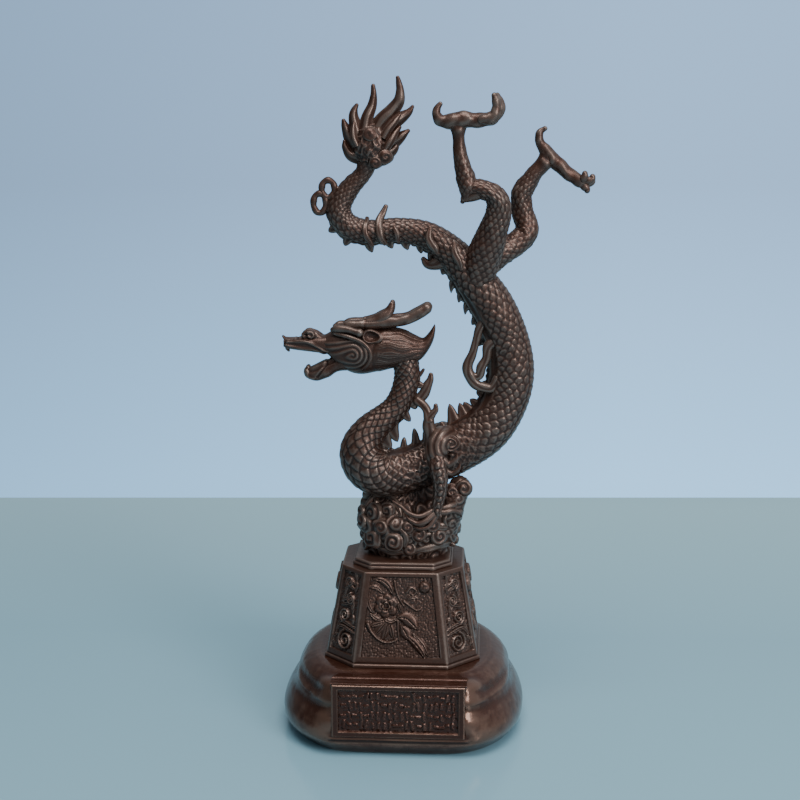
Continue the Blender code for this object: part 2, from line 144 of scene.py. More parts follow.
def nearestCell(a, v, size, margin):
    # Scattered middles, one somewhere inside each square cell but so far from its sides: gives the distance
    # of each place to the nearest of them, in cells, and the turn about it, left- or right-handed by dice.
    nearest, turned = np.full(np.shape(a), 9.0), np.zeros(np.shape(a))
    cellA, cellV = np.floor(a / size), np.floor(v / size)
    for k in range(9):
        i, j = cellA + k % 3 - 1, cellV + k // 3 - 1
        across = a / size - i - margin - (1 - 2 * margin) * dice(i, j)
        up = v / size - j - margin - (1 - 2 * margin) * dice(j, i + 7)
        distance = np.hypot(across, up)
        turn = np.arctan2(up, across) * np.where(dice(i + 3, j) > 0.5, 1, -1)
        turned = np.where(distance < nearest, turn, turned)
        nearest = np.minimum(nearest, distance)
    return nearest, turned


def scrollCells(a, v, size):
    # a skin of small scrolls: each is domed about its middle and carries a spiral ridge that winds out of it
    nearest, turned = nearestCell(a, v, size, 0.2)
    return dome(nearest / 0.85) + 0.15 * np.cos(2 * np.pi * 2.4 * nearest - turned) * ease(nearest, 0.05, 0.2)


def pebbled(a, v, size):
    # round pebbles, from flat ground at 0 to their tops at 1
    nearest, _ = nearestCell(a, v, size, 0.1)
    return dome(nearest / 0.6)


def wearAndPaintedLightOf(points, gain=2.6, step=2):
    # 0.5 plus the gain times how many millimetres each point stands out, along the skin's normal, from the
    # mean of its neighbours a few steps away: 0 is deep in a crevice, painted dark as shade and patina; 1 is
    # a ridge that hands have rubbed, painted pale as wear and a highlight
    padded = np.concatenate([points[:1].repeat(step, 0), points, points[-1:].repeat(step, 0)])
    before, after = padded[:-2 * step], padded[2 * step:]
    left, right = np.roll(points, step, 1), np.roll(points, -step, 1)
    normal = unit(np.cross(right - left, after - before))
    outward = np.sign((normal * (points - points.mean(axis=1, keepdims=True))).sum())
    bulge = ((points - (before + after + left + right) / 4) * normal).sum(-1) * outward
    return np.clip(0.5 + gain * bulge, 0, 1)


def skin(points, wearAndPaintedLight=None, ring=False):
    # A closed skin from a grid of rows by columns, whose columns wrap round. Each end row meets at a pole,
    # or, on a ring, the two end rows meet each other.
    rows, columns = points.shape[:2]
    if wearAndPaintedLight is None:
        wearAndPaintedLight = wearAndPaintedLightOf(points)
    index = np.arange(rows * columns).reshape(rows, columns)
    beside = np.roll(index, -1, axis=1)
    cloud, wearAndPaintedLight, fans = points.reshape(-1, 3), wearAndPaintedLight.ravel(), np.zeros((0, 3), int)
    if ring:
        corners = [index, np.roll(index, -1, axis=0), np.roll(beside, -1, axis=0), beside]
    else:
        corners = [index[:-1], beside[:-1], beside[1:], index[1:]]
        first, last = rows * columns, rows * columns + 1
        fans = np.vstack([np.stack([beside[0], index[0], np.full(columns, first)], axis=1),
                          np.stack([index[-1], beside[-1], np.full(columns, last)], axis=1)])
        cloud = np.vstack([cloud, points[0].mean(0), points[-1].mean(0)])
        wearAndPaintedLight = np.concatenate([wearAndPaintedLight, [wearAndPaintedLight[:columns].mean(), wearAndPaintedLight[-columns:].mean()]])
    quads = np.stack(corners, axis=-1).reshape(-1, 4)
    # the sum of the volumes under the faces is negative when they look inwards
    a, b, c, d = (cloud[quads[:, k]] - cloud.mean(0) for k in range(4))
    if (np.cross(a, b) * c).sum() + (np.cross(a, c) * d).sum() < 0:
        quads, fans = quads[:, ::-1], fans[:, ::-1]
    return cloud, quads, fans, wearAndPaintedLight


def capped(points, centre, outward, size):
    # rows that close an end with a quarter ellipsoid, so long in the end's own radii
    turns = np.linspace(0, np.pi / 2, 7)[1:-1]
    reach = np.linalg.norm(points - centre, axis=1).mean()
    cap = (centre + outward * reach * size * np.sin(turns)[:, None])[:, None]
    return cap + (points - centre)[None] * np.cos(turns)[:, None, None]


def tube(stations, spacing, columns, relief=None, flat=1.0, ends=(0.0, 1.0)):
    # A circle of the station's radius carried along the path, stood off by the relief at each length and
    # turn. The turn is 0 on the back and grows towards -Y; flat is width over height; ends are how long the
    # rounded ends are, in radii, and 0 leaves an end as it is cut.
    curve, length, station = curveThrough(stations, spacing)
    along, across, back = framesAlong(curve[:, :3])
    centres, radii = curve[:, :3], curve[:, 3]
    turn = stepsRound(columns)
    ring = np.cos(turn)[None, :, None] * back[:, None] - flat * np.sin(turn)[None, :, None] * across[:, None]
    lift = np.zeros((len(curve), columns))
    if relief is not None:
        lift = relief(length[:, None], turn[None, :], radii[:, None], station[:, None]) + lift
    points = centres[:, None] + ring * (radii[:, None] + lift)[..., None]
    if ends[0] > 0:
        points = np.concatenate([capped(points[0], centres[0], -along[0], ends[0])[::-1], points])
    if ends[1] > 0:
        points = np.concatenate([points, capped(points[-1], centres[-1], along[-1], ends[1])])
    return points


def loft(stations, spacing, columns, squareness):
    # An upright section at each x: a superellipse of its half width and half height about the head's
    # middle. The turn is 0 on top and grows towards -Y.
    rows = [(x, headMiddleY, z, width, height) for x, z, width, height in stations]
    curve, _, _ = curveThrough(rows, spacing)
    turn = stepsRound(columns)
    x, _, z, width, height = (column[:, None] for column in curve.T)
    sine = np.sign(np.sin(turn)) * np.abs(np.sin(turn)) ** (2 / squareness)
    cosine = np.sign(np.cos(turn)) * np.abs(np.cos(turn)) ** (2 / squareness)
    return np.stack([x + 0 * turn, headMiddleY - width * sine, z + height * cosine], axis=2)


def boss(centre, facing, radius, height, outline=None, rows=24, columns=64, depth=0.9):
    # A round knob on a surface, from polar rows: at each share of its radius it stands off by the height
    # function of that share and of the turn, and its skirt goes back into what it grows from.
    facing = unit(np.array(facing, float))
    upward = unit(np.array([0.0, 0.0, 1.0]) - facing * facing[2])
    sideways = np.cross(upward, facing)
    turn = stepsRound(columns)
    share = np.concatenate([[0.75, 0.93], np.linspace(1, 0.02, rows)])[:, None]
    reach = radius * share * (1 if outline is None else outline(turn)[None, :])
    stand = radius * height(np.minimum(share, 1), turn[None, :]) * np.ones((len(share), columns))
    stand[0], stand[1] = -depth * radius, -0.5 * depth * radius
    inPlane = np.cos(turn)[:, None] * sideways + np.sin(turn)[:, None] * upward
    return np.array(centre, float) + reach[..., None] * inPlane + stand[..., None] * facing


def emboss(points, field):
    # moves each point along the grid's outward normal by the field's value there, in millimetres
    padded = np.concatenate([points[:1], points, points[-1:]])
    normal = unit(np.cross(np.roll(points, -1, 1) - np.roll(points, 1, 1), padded[2:] - padded[:-2]))
    outward = np.sign((normal * (points - points.mean(axis=1, keepdims=True))).sum())
    return points + outward * normal * field(points[..., 0], points[..., 1], points[..., 2])[..., None]


def nearLine(x, z, line):
    # distance from each place to a polyline, and how far along it the nearest place is, 0 to 1
    line = np.array(line, float)
    best, where = np.full(np.shape(x), 1e9), np.zeros(np.shape(x))
    for k, (start, end) in enumerate(zip(line[:-1], line[1:])):
        step = end - start
        t = np.clip(((x - start[0]) * step[0] + (z - start[1]) * step[1]) / (step @ step), 0, 1)
        distance = np.hypot(x - start[0] - t * step[0], z - start[1] - t * step[1])
        where = np.where(distance < best, (k + t) / (len(line) - 1), where)
        best = np.minimum(best, distance)
    return best, where


def softLine(line):
    # the same polyline, rounded
    return curveThrough([(x, 0, z) for x, z in line], 0.6)[0][:, [0, 2]]


def addObject(name, data):
    added = bpy.data.objects.new(name, data)
    bpy.context.scene.collection.objects.link(added)
    return added


def makePiece(name, parts, material, slotName, replaced, sharp=60):
    # one object in the frame from closed skins that grow into each other
    clouds, quads, fans, wearAndPaintedLights = zip(*parts)
    starts = np.cumsum([0] + [len(cloud) for cloud in clouds])
    quads = np.vstack([quad + start for quad, start in zip(quads, starts)])
    fans = np.vstack([fan + start for fan, start in zip(fans, starts)])
    mesh = bpy.data.meshes.new(name)
    mesh.vertices.add(starts[-1])
    mesh.vertices.foreach_set("co", (middle + mm * np.vstack(clouds)).astype(np.float32).ravel())
    mesh.loops.add(4 * len(quads) + 3 * len(fans))
    mesh.loops.foreach_set("vertex_index", np.concatenate([quads.ravel(), fans.ravel()]).astype(np.int32))
    mesh.polygons.add(len(quads) + len(fans))
    loopStarts = np.concatenate([4 * np.arange(len(quads)), 4 * len(quads) + 3 * np.arange(len(fans))])
    mesh.polygons.foreach_set("loop_start", loopStarts.astype(np.int32))
    mesh.update(calc_edges=True)
    mesh.validate()
    mesh.shade_smooth()
    mesh.set_sharp_from_angle(angle=math.radians(sharp))
    # how far each point stands out, which the finish turns into patina and painted shade in the hollows, wear
    # and painted highlights on the ridges
    layer = mesh.attributes.new("wearAndPaintedLight", "FLOAT", "POINT")
    layer.data.foreach_set("value", np.concatenate(wearAndPaintedLights).astype(np.float32))
    mesh.materials.append(material)
    piece = addObject(name, mesh)
    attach(piece, "root")
    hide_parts(replaced)
    print(f"{name}: {2 * len(quads) + len(fans)} triangles")


# Finishes: dark brown bronze, redder and glossier on the foot, rubbed pale with painted highlights on
# everything that stands out, and darker with patina and painted shade in the hollows

def newGroup(name, inputs, outputs):
    group = bpy.data.node_groups.new(name, "ShaderNodeTree")
    for socket, kind, value in inputs:
        made = group.interface.new_socket(name=socket, in_out="INPUT", socket_type="NodeSocket" + kind)
        made.default_value = value
    for socket, kind in outputs:
        group.interface.new_socket(name=socket, in_out="OUTPUT", socket_type="NodeSocket" + kind)
    return group, group.nodes.new("NodeGroupInput"), group.nodes.new("NodeGroupOutput")


def plug(tree, value, socket):
    # a socket takes either another node's output or a plain value
    if isinstance(value, bpy.types.NodeSocket):
        tree.links.new(value, socket)
    else:
        socket.default_value = value


def noiseNode(tree, scale, detail, place):
    node = tree.nodes.new("ShaderNodeTexNoise")
    for socket, value in (("Detail", detail), ("Scale", scale), ("Vector", place)):
        plug(tree, value, node.inputs[socket])
    return node.outputs["Fac"]


def mathNode(tree, operation, first, second):
    node = tree.nodes.new("ShaderNodeMath")
    node.operation = operation
    plug(tree, first, node.inputs[0])
    plug(tree, second, node.inputs[1])
    return node.outputs[0]


def rangeNode(tree, value, low, high, newLow=0.0, newHigh=1.0):
    node = tree.nodes.new("ShaderNodeMapRange")
    sockets = ("Value", "From Min", "From Max", "To Min", "To Max")
    for socket, given in zip(sockets, (value, low, high, newLow, newHigh)):
        plug(tree, given, node.inputs[socket])
    return node.outputs["Result"]


def mixNode(tree, amount, first, second):
    node = tree.nodes.new("ShaderNodeMix")
    node.data_type = "RGBA"
    for number, given in ((0, amount), (6, first), (7, second)):      # the sockets that mix colours
        plug(tree, given, node.inputs[number])
    return node.outputs[2]


def groupNode(tree, group, values):
    node = tree.nodes.new("ShaderNodeGroup")
    node.node_tree = group
    for socket, value in values.items():
        plug(tree, value, node.inputs[socket])
    return node


textureScale = {"speckle": 1500.0, "blotch": 420.0, "grain": 1300.0, "wave": 190.0, "pits": 330.0,
                "pitted": 95.0}        # how many to a metre; the pits keep to the pitted places


def makePatinaAndPaintedLight():
    # Three tones by how far a place stands out: dark patina with painted shade in the hollows, pale wear with
    # painted highlights on the ridges, bronze between; moved by broad mottling and broken up by fine speckle
    group, given, made = newGroup("patinaWearAndPaintedLight", [
        ("WearAndPaintedLight", "Float", 0.5), ("Recess", "Color", (0, 0, 0, 1)), ("Bronze", "Color", (0, 0, 0, 1)),
        ("Rubbed_And_Sheen", "Color", (0, 0, 0, 1)), ("Bloom", "Color", (0, 0, 0, 1)), ("Mottle Scale", "Float", 60.0),
        ("RubAndSheen", "Float", 0.8)], [("Color", "Color"), ("PatinaAndShade", "Float"), ("Shine", "Float")])
    place = group.nodes.new("ShaderNodeTexCoord").outputs["Object"]
    broad = noiseNode(group, given.outputs["Mottle Scale"], 3.0, place)
    small = noiseNode(group, textureScale["blotch"], 4.0, place)
    fine = noiseNode(group, textureScale["speckle"], 2.0, place)
    shift = mathNode(group, "MULTIPLY", mathNode(group, "SUBTRACT", small, 0.5), 0.34)
    wearAndPaintedLight = mathNode(group, "ADD", given.outputs["WearAndPaintedLight"], shift)
    # painted shade: the hollows go over to the dark recess colour, together with their patina
    patinaAndShade = rangeNode(group, wearAndPaintedLight, 0.49, 0.24)
    patch = rangeNode(group, broad, 0.3, 0.66, 0.45, 1.0)
    # painted highlight: the ridges go over to the pale rubbed colour, together with their wear
    shine = mathNode(group, "MULTIPLY", rangeNode(group, wearAndPaintedLight, 0.56, 0.86),
                     mathNode(group, "MULTIPLY", patch, given.outputs["RubAndSheen"]))
    tone = mixNode(group, rangeNode(group, broad, 0.35, 0.72, 0.0, 0.55),
                   given.outputs["Bronze"], given.outputs["Bloom"])
    tone = mixNode(group, rangeNode(group, fine, 0.35, 0.65, 0.0, 0.35), tone, given.outputs["Recess"])
    tone = mixNode(group, patinaAndShade, tone, given.outputs["Recess"])
    tone = mixNode(group, shine, tone, given.outputs["Rubbed_And_Sheen"])
    group.links.new(tone, made.inputs["Color"])
    group.links.new(patinaAndShade, made.inputs["PatinaAndShade"])
    group.links.new(shine, made.inputs["Shine"])
    return group


def makeCastGrain():
    # The skin of a casting: fine grain, a slow waviness, and here and there a small pit
    group, given, made = newGroup("castGrain", [("Grain", "Float", 0.5), ("Waviness", "Float", 0.5),
                                                ("Pits", "Float", 0.5)], [("Height", "Float")])
    place = group.nodes.new("ShaderNodeTexCoord").outputs["Object"]
    scale = textureScale
    grain = mathNode(group, "MULTIPLY", noiseNode(group, scale["grain"], 3.0, place), given.outputs["Grain"])
    wave = mathNode(group, "MULTIPLY", noiseNode(group, scale["wave"], 1.0, place), given.outputs["Waviness"])
    cells = group.nodes.new("ShaderNodeTexVoronoi")
    cells.inputs["Scale"].default_value = scale["pits"]
    group.links.new(place, cells.inputs["Vector"])
    pit = mathNode(group, "MULTIPLY", rangeNode(group, cells.outputs["Distance"], 0.0, 0.16, 1.0, 0.0),
                   rangeNode(group, noiseNode(group, scale["pitted"], 1.0, place), 0.52, 0.6))
    height = mathNode(group, "ADD", grain, wave)
    height = mathNode(group, "SUBTRACT", height, mathNode(group, "MULTIPLY", pit, given.outputs["Pits"]))
    group.links.new(height, made.inputs["Height"])
    return group


patinaAndPaintedLight, castGrain = makePatinaAndPaintedLight(), makeCastGrain()


def bronzeFinish(name, look):
    material = bpy.data.materials.new(name)
    material.use_nodes = True
    tree = material.node_tree
    shader = tree.nodes["Principled BSDF"]
    # the attribute of how far each point stands out paints shade and patina into the hollows, highlights and
    # wear onto the ridges
    wearAndPaintedLight = tree.nodes.new("ShaderNodeAttribute")
    wearAndPaintedLight.attribute_name = "wearAndPaintedLight"
    colours = {key.title(): (*look[key], 1.0) for key in ("recess", "bronze", "rubbed_and_sheen", "bloom")}
    tones = groupNode(tree, patinaAndPaintedLight, {"WearAndPaintedLight": wearAndPaintedLight.outputs["Fac"], "Mottle Scale": look["mottleScale"],
                                     "RubAndSheen": look["rubAndSheen"], **colours})
    grain = groupNode(tree, castGrain, {key.title(): look[key] for key in ("grain", "waviness", "pits")})
    bump = tree.nodes.new("ShaderNodeBump")
    bump.inputs["Distance"].default_value = look["bumpDistance"]
    bump.inputs["Strength"].default_value = look["bump"]
    tree.links.new(grain.outputs["Height"], bump.inputs["Height"])
    tree.links.new(bump.outputs["Normal"], shader.inputs["Normal"])
    tree.links.new(tones.outputs["Color"], shader.inputs["Base Color"])
    dull, bright, satin = look["roughness"]
    rough = mathNode(tree, "ADD", rangeNode(tree, tones.outputs["PatinaAndShade"], 0.0, 1.0, satin, dull),
                     rangeNode(tree, tones.outputs["Shine"], 0.0, 1.0, 0.0, bright - satin))
    tree.links.new(rough, shader.inputs["Roughness"])
    tree.links.new(rangeNode(tree, tones.outputs["PatinaAndShade"], 0.0, 1.0, look["metallic"], look["patinaAndShadeMetallic"]),
                   shader.inputs["Metallic"])
    shader.inputs["Coat Weight"].default_value = look["coat"]
    shader.inputs["Coat Roughness"].default_value = look["coatRoughness"]
    return material


# the recess colour is dark patina and painted shade in the hollows; the pale rubbed colour is wear and
# painted highlights on the ridges
figureLook = {"recess": (0.026, 0.011, 0.007), "bronze": (0.080, 0.032, 0.020),
              "bloom": (0.072, 0.046, 0.037), "rubbed_and_sheen": (0.225, 0.168, 0.14), "mottleScale": 55.0, "rubAndSheen": 0.6,
              "roughness": (0.56, 0.29, 0.37),      # in the recesses, where rubbed, in between
              "metallic": 0.55, "patinaAndShadeMetallic": 0.35, "bump": 0.5, "bumpDistance": 0.00025,   # in metres
              "grain": 0.5, "waviness": 0.7, "pits": 0.6,
              "coat": 0.07, "coatRoughness": 0.22}
figureBronze = bronzeFinish("figureBronze", figureLook)
plinthBronze = bronzeFinish("plinthBronze", {**figureLook, "bronze": (0.100, 0.048, 0.033), "rubAndSheen": 0.75})
baseBronze = bronzeFinish("baseBronze", {**figureLook, "bronze": (0.064, 0.019, 0.010), "rubAndSheen": 0.6,
                                         "bloom": (0.080, 0.035, 0.022), "rubbed_and_sheen": (0.24, 0.14, 0.10),
                                         "roughness": (0.40, 0.17, 0.21), "coat": 0.12, "waviness": 1.6})
figureCast = {"material": figureBronze, "slotName": "figure_bronze", "replaced": "dragon"}
print("finishes made")


# Trunk: one long body with a coat of scales, in three lengths that share their skin at the joins

trunkShape = {
    "path": [   # x, y, z, radius from inside the head to the root of the tail's flame
        (0, -5, 201, 6.6), (1.6, -5.5, 186.4, 6.7), (-4.3, -7, 171.8, 6.5), (-17.5, -8, 158.9, 8.9),
        (-21.5, -8, 149, 11.7), (-18.5, -7, 140, 12.6), (-9, -4, 135.3, 12.3), (9, 0, 138.9, 12.2),
        (27.6, 2.5, 147.9, 13.0), (42.6, 4.5, 157.9, 12.9), (52, 6, 172, 12.2), (55.5, 6.5, 188, 12.1),
        (53.0, 6, 204.8, 11.7), (45.7, 4, 222.6, 11.3), (36.4, 2.5, 236.2, 10.4), (25.5, 2.5, 249.5, 8.7),
        (12, 2.5, 259.5, 7.1), (-3, 1.5, 262.5, 6.3), (-19, 0.5, 261.6, 6.3), (-30, 0, 265.5, 6.3),
        (-33.4, 0, 274, 6.1), (-27.7, 0, 283.8, 4.9), (-21.0, 0, 291.4, 4.3), (-18, 0, 300.5, 6.2)],
    "spacing": 0.52, "columns": 130,
    "joins": (0, 8.2, 14.2, 23),        # the stations where the three lengths begin and end
    # by station: length of a row, scales round the body, how round their tips are, how far they stand off
    "rowLength": ((0, 2.1), (2, 2.5), (3.2, 3.0), (8, 3.1), (9.5, 3.2), (14, 3.2), (17, 2.5), (23, 1.9)),
    "scalesRound": ((0, 11), (3, 12), (5, 14), (9, 16), (14, 17), (18, 14), (23, 11)),
    "tipRoundness": ((0, 1.6), (3.5, 1.25), (7, 1.2), (8.5, 1.6), (10, 2.1), (23, 1.9)),
    "standOff": ((0, 0.6), (3, 0.95), (5.5, 0.95), (8, 0.75), (14, 0.8), (17, 0.62), (23, 0.45)),
    "bellyPlate": 3.3,        # length of a plate under the throat and belly
    "bellyHalfAngle": 36.0,   # half of the arc that the plates cover, in degrees
}


def byStation(table, station):
    at, value = np.array(table, float).T
    return np.interp(station, at, value)


def scaleCoat(p, q, roundness):
    # p counts rows and q counts scales round the body; every other row is moved by half a scale.
    # Each scale climbs from its root to its tip, and its tip is a superellipse that reaches over the
    # next row. Gives the height, 0 to about 1.
    overlap, shoulder = 0.95, 0.3     # in rows: how far a tip reaches over, how wide its rounded edge is
    row, part = np.floor(p), p - np.floor(p)
    own = q - 0.5 * (row % 2)
    over = q - 0.5 * ((row - 1) % 2)
    ownId, overId = np.round(own), np.round(over)
    own, over = own - ownId, over - overId
    reach = overlap * np.maximum(1 - np.abs(2 * over) ** roundness, 0) ** (1 / roundness)
    inside = reach - part
    lip = np.clip(inside / shoulder, 0, 1)
    tipHeight = (part + dome(1 - lip)) / (1 + overlap)
    tipHeight = tipHeight - 0.5 * (2 * over) ** 2 * (0.4 + 0.6 * part) + 0.22 * (dice(row, overId) - 0.5)
    rootHeight = part / (1 + overlap) - 0.5 * (2 * own) ** 2 * (0.2 + 0.5 * part)
    rootHeight = rootHeight + 0.22 * (dice(row + 1, ownId) - 0.5) - 0.1
    return np.where(inside > 0, tipHeight, rootHeight)


def trunkRelief(length, turn, radius, station):
    side = fromBack(turn)
    away = np.degrees(np.abs(side))         # 0 on the back, 180 on the belly
    rowLength = byStation(trunkShape["rowLength"], station)
    rows = np.concatenate([[0], np.cumsum(np.diff(length[:, 0]) / rowLength[1:, 0])])[:, None]
    around = side * byStation(trunkShape["scalesRound"], station) / (2 * np.pi)
    sway = 0.16 * np.sin(length / 6.1 + 3 * side) + 0.12 * np.sin(length / 3.7 - 5 * side)
    coat = scaleCoat(rows + sway, around + 0.5 * sway, byStation(trunkShape["tipRoundness"], station))
    coat = (coat - 0.45) * byStation(trunkShape["standOff"], station)
    # knotted, crinkled skin in the crook of the belly
    crook = ease(station, 5.9, 6.9) * (1 - ease(station, 7.9, 8.9)) * ease(away, 14, 36)
    crinkle = 0.6 * knots(length, radius * side * 0.8, 0 * side, 2.6) \
        + 0.4 * knots(length + 40, radius * side, 0 * side, 1.6)
    coat = coat * (1 - 0.5 * crook) + (crinkle - 0.3) * crook
    # slow swelling of the cast skin
    coat = coat + 0.5 * (lumps(length, radius * side, 0 * side, 5.0) - 0.5)
    # plates across the belly: each climbs slowly and drops at its edge
    plate = length / trunkShape["bellyPlate"] + 0.1 * np.sin(length / 5)
    step = plate - np.floor(plate)
    plates = 0.42 * (step ** 0.8 - ease(step, 0.86, 1.0)) - 0.1
    half = 180 - trunkShape["bellyHalfAngle"]
    belly = ease(away, half - 2, half + 4)
    seam = -0.35 * hump(away, half, 3.2)
    # a smooth mane of long furrows on the back of the rising trunk, and fine lines inside the neck's coil
    backWidth = byStation(((0, 0), (4, 8), (5, 32), (7.5, 30), (8.6, 20), (10, 58), (13.4, 62), (14.6, 20),
                           (16.5, 26), (18.6, 30), (20, 12), (23, 0)), station)
    onBack = 1 - ease(away, backWidth - 6, backWidth + 2)
    furrows = 0.26 * np.cos(away / 4.6 + 1.3 * np.sin(length / 8.0)) - 0.12 \
        + 0.12 * np.sin(length / 2.9 + away / 8)
    crest = 0.9 * hump(away, 0, 7) * (0.35 + 0.65 * np.abs(np.sin(np.pi * length / 4.4)))
    relief = coat * (1 - belly) * (1 - onBack) + plates * belly + furrows * onBack + seam
    relief = relief + crest * ease(station, 1, 2) * (1 - ease(station, 21, 22.5))
    return relief * np.minimum(1, radius / 6.5)


def trunkLengths(joins):
    # the body's grid cut at stations: each length starts on its neighbour's last row, and that neighbour
    # runs on a little way below its skin, so that no gap shows
    curve, _, station = curveThrough(trunkShape["path"], trunkShape["spacing"])
    points = tube(trunkShape["path"], trunkShape["spacing"], trunkShape["columns"], trunkRelief, ends=(0, 0))
    cuts = np.searchsorted(station, joins)
    lengths = []
    for first, last in zip(cuts[:-1], cuts[1:]):
        tuck = points[last + 1:last + 5]
        sunk = np.array([0.05, 0.2, 0.5, 1.0])[:len(tuck), None, None]
        inward = unit(curve[last + 1:last + 5, None, :3] - tuck)
        lengths.append(np.concatenate([points[first:last + 1], tuck + sunk * inward]))
    return lengths


for pieceName, points in zip(("neckCoil", "risingTrunk", "tail"), trunkLengths(trunkShape["joins"])):
    makePiece(pieceName, [skin(points)], **figureCast)


# Head: skull with its mane, the two jaws, brows, nostrils, ears and horns

headShape = {
    "skull": [   # x, height of the middle, half width, half height, from the brow to the mane's tip
        (-43, 204.0, 4.6, 3.8), (-39, 204.4, 6.6, 5.8), (-34.5, 203.2, 8.0, 9.4), (-28, 201.9, 9.4, 12.0),
        (-22, 201.3, 10, 12.6),
        (-15, 201.7, 10.2, 11.8), (-7, 202.6, 10, 10.5), (0, 202.8, 8.8, 9.0), (5.5, 202.2, 6.8, 6.9),
        (9.8, 202.8, 4.9, 4.8), (13.2, 206.8, 3.7, 4.0), (15.2, 210.6, 2.7, 3.2), (16.0, 213.4, 1.5, 1.7)],
    "upperJaw": [(-22, 204, 8.5, 6.5), (-28, 204.6, 8, 6), (-38, 204.3, 7, 5.1), (-47, 204.4, 5.9, 4.3),
                 (-56, 204.4, 4.8, 3.3), (-60, 204.5, 4.1, 2.7), (-62.2, 204.7, 3.2, 2.1)],
    "lowerJaw": [(-20, 197, 8, 6), (-28, 196.4, 7.4, 5.8), (-34, 194.4, 6.3, 4.4), (-39, 191.8, 5.5, 4.6),
                 (-44.5, 189.4, 4.6, 4.5), (-49.0, 188.6, 3.8, 3.0), (-51.5, 189.3, 2.6, 1.7)],
    "cheek": (-25.6, 199.9),      # middle of the curl on the cheek: x, z
    "ringPitch": 2.3, "ringDepth": 0.42,
    "maneLocks": 64, "maneDepth": 0.3,
    "spacing": 0.42, "columns": 168,
}


def skullField(x, y, z):
    side = ease(np.abs(y - headMiddleY), 3.0, 6.5)
    centreX, centreZ = headShape["cheek"]
    # a spiral about the cheek's middle, drawn out forward into strands that run to the jaws
    behind, ahead = np.maximum(x - centreX, 0), np.minimum(x - centreX, 0)
    armZ = centreZ + 0.12 * ahead
    fromMiddle = np.hypot(behind + 0.62 * ahead + 0.03 * ahead ** 2 * np.sign(-ahead), z - armZ)
    turn = np.arctan2(z - armZ, x - centreX)
    ridge = 0.5 + 0.5 * np.cos(2 * np.pi * fromMiddle / headShape["ringPitch"] - turn)
    rings = (ridge ** 0.9 - 0.45) * (1 - ease(fromMiddle, 8.0, 9.4)) * side
    swell = 0.7 * hump(fromMiddle, 0, 6.5) * side
    # the mane: rounded locks with narrow furrows, from behind the cheek and the ear to the curled tip
    start = -15.6 + 0.30 * np.maximum(z - 201, 0) + 0.12 * np.maximum(199 - z, 0)
    hair = ease(x, start, start + 3.2)
    turn = np.arctan2(-(y - headMiddleY), (z - 202.0) * 0.86)
    flow = turn + 0.05 * np.sin(x / 3.3 + 3 * turn) + 0.03 * np.sin(x / 1.7 - 5 * turn)
    lock = np.abs(np.sin(headShape["maneLocks"] / 2 * flow)) ** 0.55
    bunch = np.abs(np.sin(headShape["maneLocks"] / 8 * flow + 0.5)) ** 0.7
    smoothTip = 1 - 0.8 * ease(x, 7.5, 11.5)
    mane = (headShape["maneDepth"] * (lock - 0.55) + 0.3 * (bunch - 0.6)) * smoothTip + 0.2
    gap = -0.25 * hump(x, start - 0.4, 0.9) * side
    return headShape["ringDepth"] * rings + swell + mane * hair + gap


upperLip = softLine([(-60, 205.8), (-54.5, 206.0), (-49, 205.6), (-43.6, 203.4), (-40, 201.6),
                     (-34.8, 201.3), (-29, 202.6)])
lowerLip = softLine([(-61, 204.0), (-55, 202.8), (-45.5, 201.6), (-40, 199.2), (-36, 197.9)])
jawGroove = softLine([(-38.4, 197.4), (-41.0, 192.5), (-44.6, 187.4)])
jawRim = softLine([(-36.5, 197.2), (-42, 194.6), (-46.5, 192.2), (-50.5, 191.2)])
chinRim = softLine([(-50.4, 190.4), (-49.3, 187.4), (-46.6, 186.6)])


def upperJawField(x, y, z):
    side = ease(np.abs(y - headMiddleY), 1.2, 3.4)
    upper, _ = nearLine(x, z, upperLip)
    lower, _ = nearLine(x, z, lowerLip)
    field = (0.95 * hump(upper, 0, 0.75) + 0.8 * hump(lower, 0, 0.7)
             - 0.5 * hump((upper + lower) / 2, 1.5, 0.5))
    bridge = -0.7 * hump(x, -38.5, 3.6) * hump(z, 205.6, 2.6)
    creases = 0.22 * np.cos(x * 2.4 + 0.8 * z) * ease(z, 206.2, 207.4) * hump(x, -56, 4.5)
    return (field + bridge) * side + creases


def lowerJawField(x, y, z):
    side = ease(np.abs(y - headMiddleY), 0.8, 2.6)
    groove, _ = nearLine(x, z, jawGroove)
    rim, _ = nearLine(x, z, jawRim)
    chin, _ = nearLine(x, z, chinRim)
    jowl = 0.9 * np.exp(-((x + 40.2) / 3.0) ** 2 - ((z - 189.4) / 2.4) ** 2)
    return (0.75 * hump(rim, 0, 0.8) - 0.75 * hump(groove, 0, 0.6) + 0.5 * hump(chin, 0, 0.6) + jowl
            - 0.35 * hump(rim, 1.5, 0.6)) * side


def nostrilField(side):
    def field(x, y, z):
        pit = np.exp(-((x + 50.6) / 0.9) ** 2 - ((z - 209.3) / 0.8) ** 2)
        curl, _ = nearLine(x, z, curlLine)
        outer = ease(side * (y - headMiddleY), 1.5, 3.0)
        return (-1.3 * pit + 0.5 * hump(curl, 0, 0.45) - 0.3 * hump(curl, 1.0, 0.4)) * outer
    curlLine = softLine([(-49.4, 211.0), (-47.2, 210.9), (-46.2, 209.4), (-47.4, 208.2), (-49.0, 208.9)])
    return field


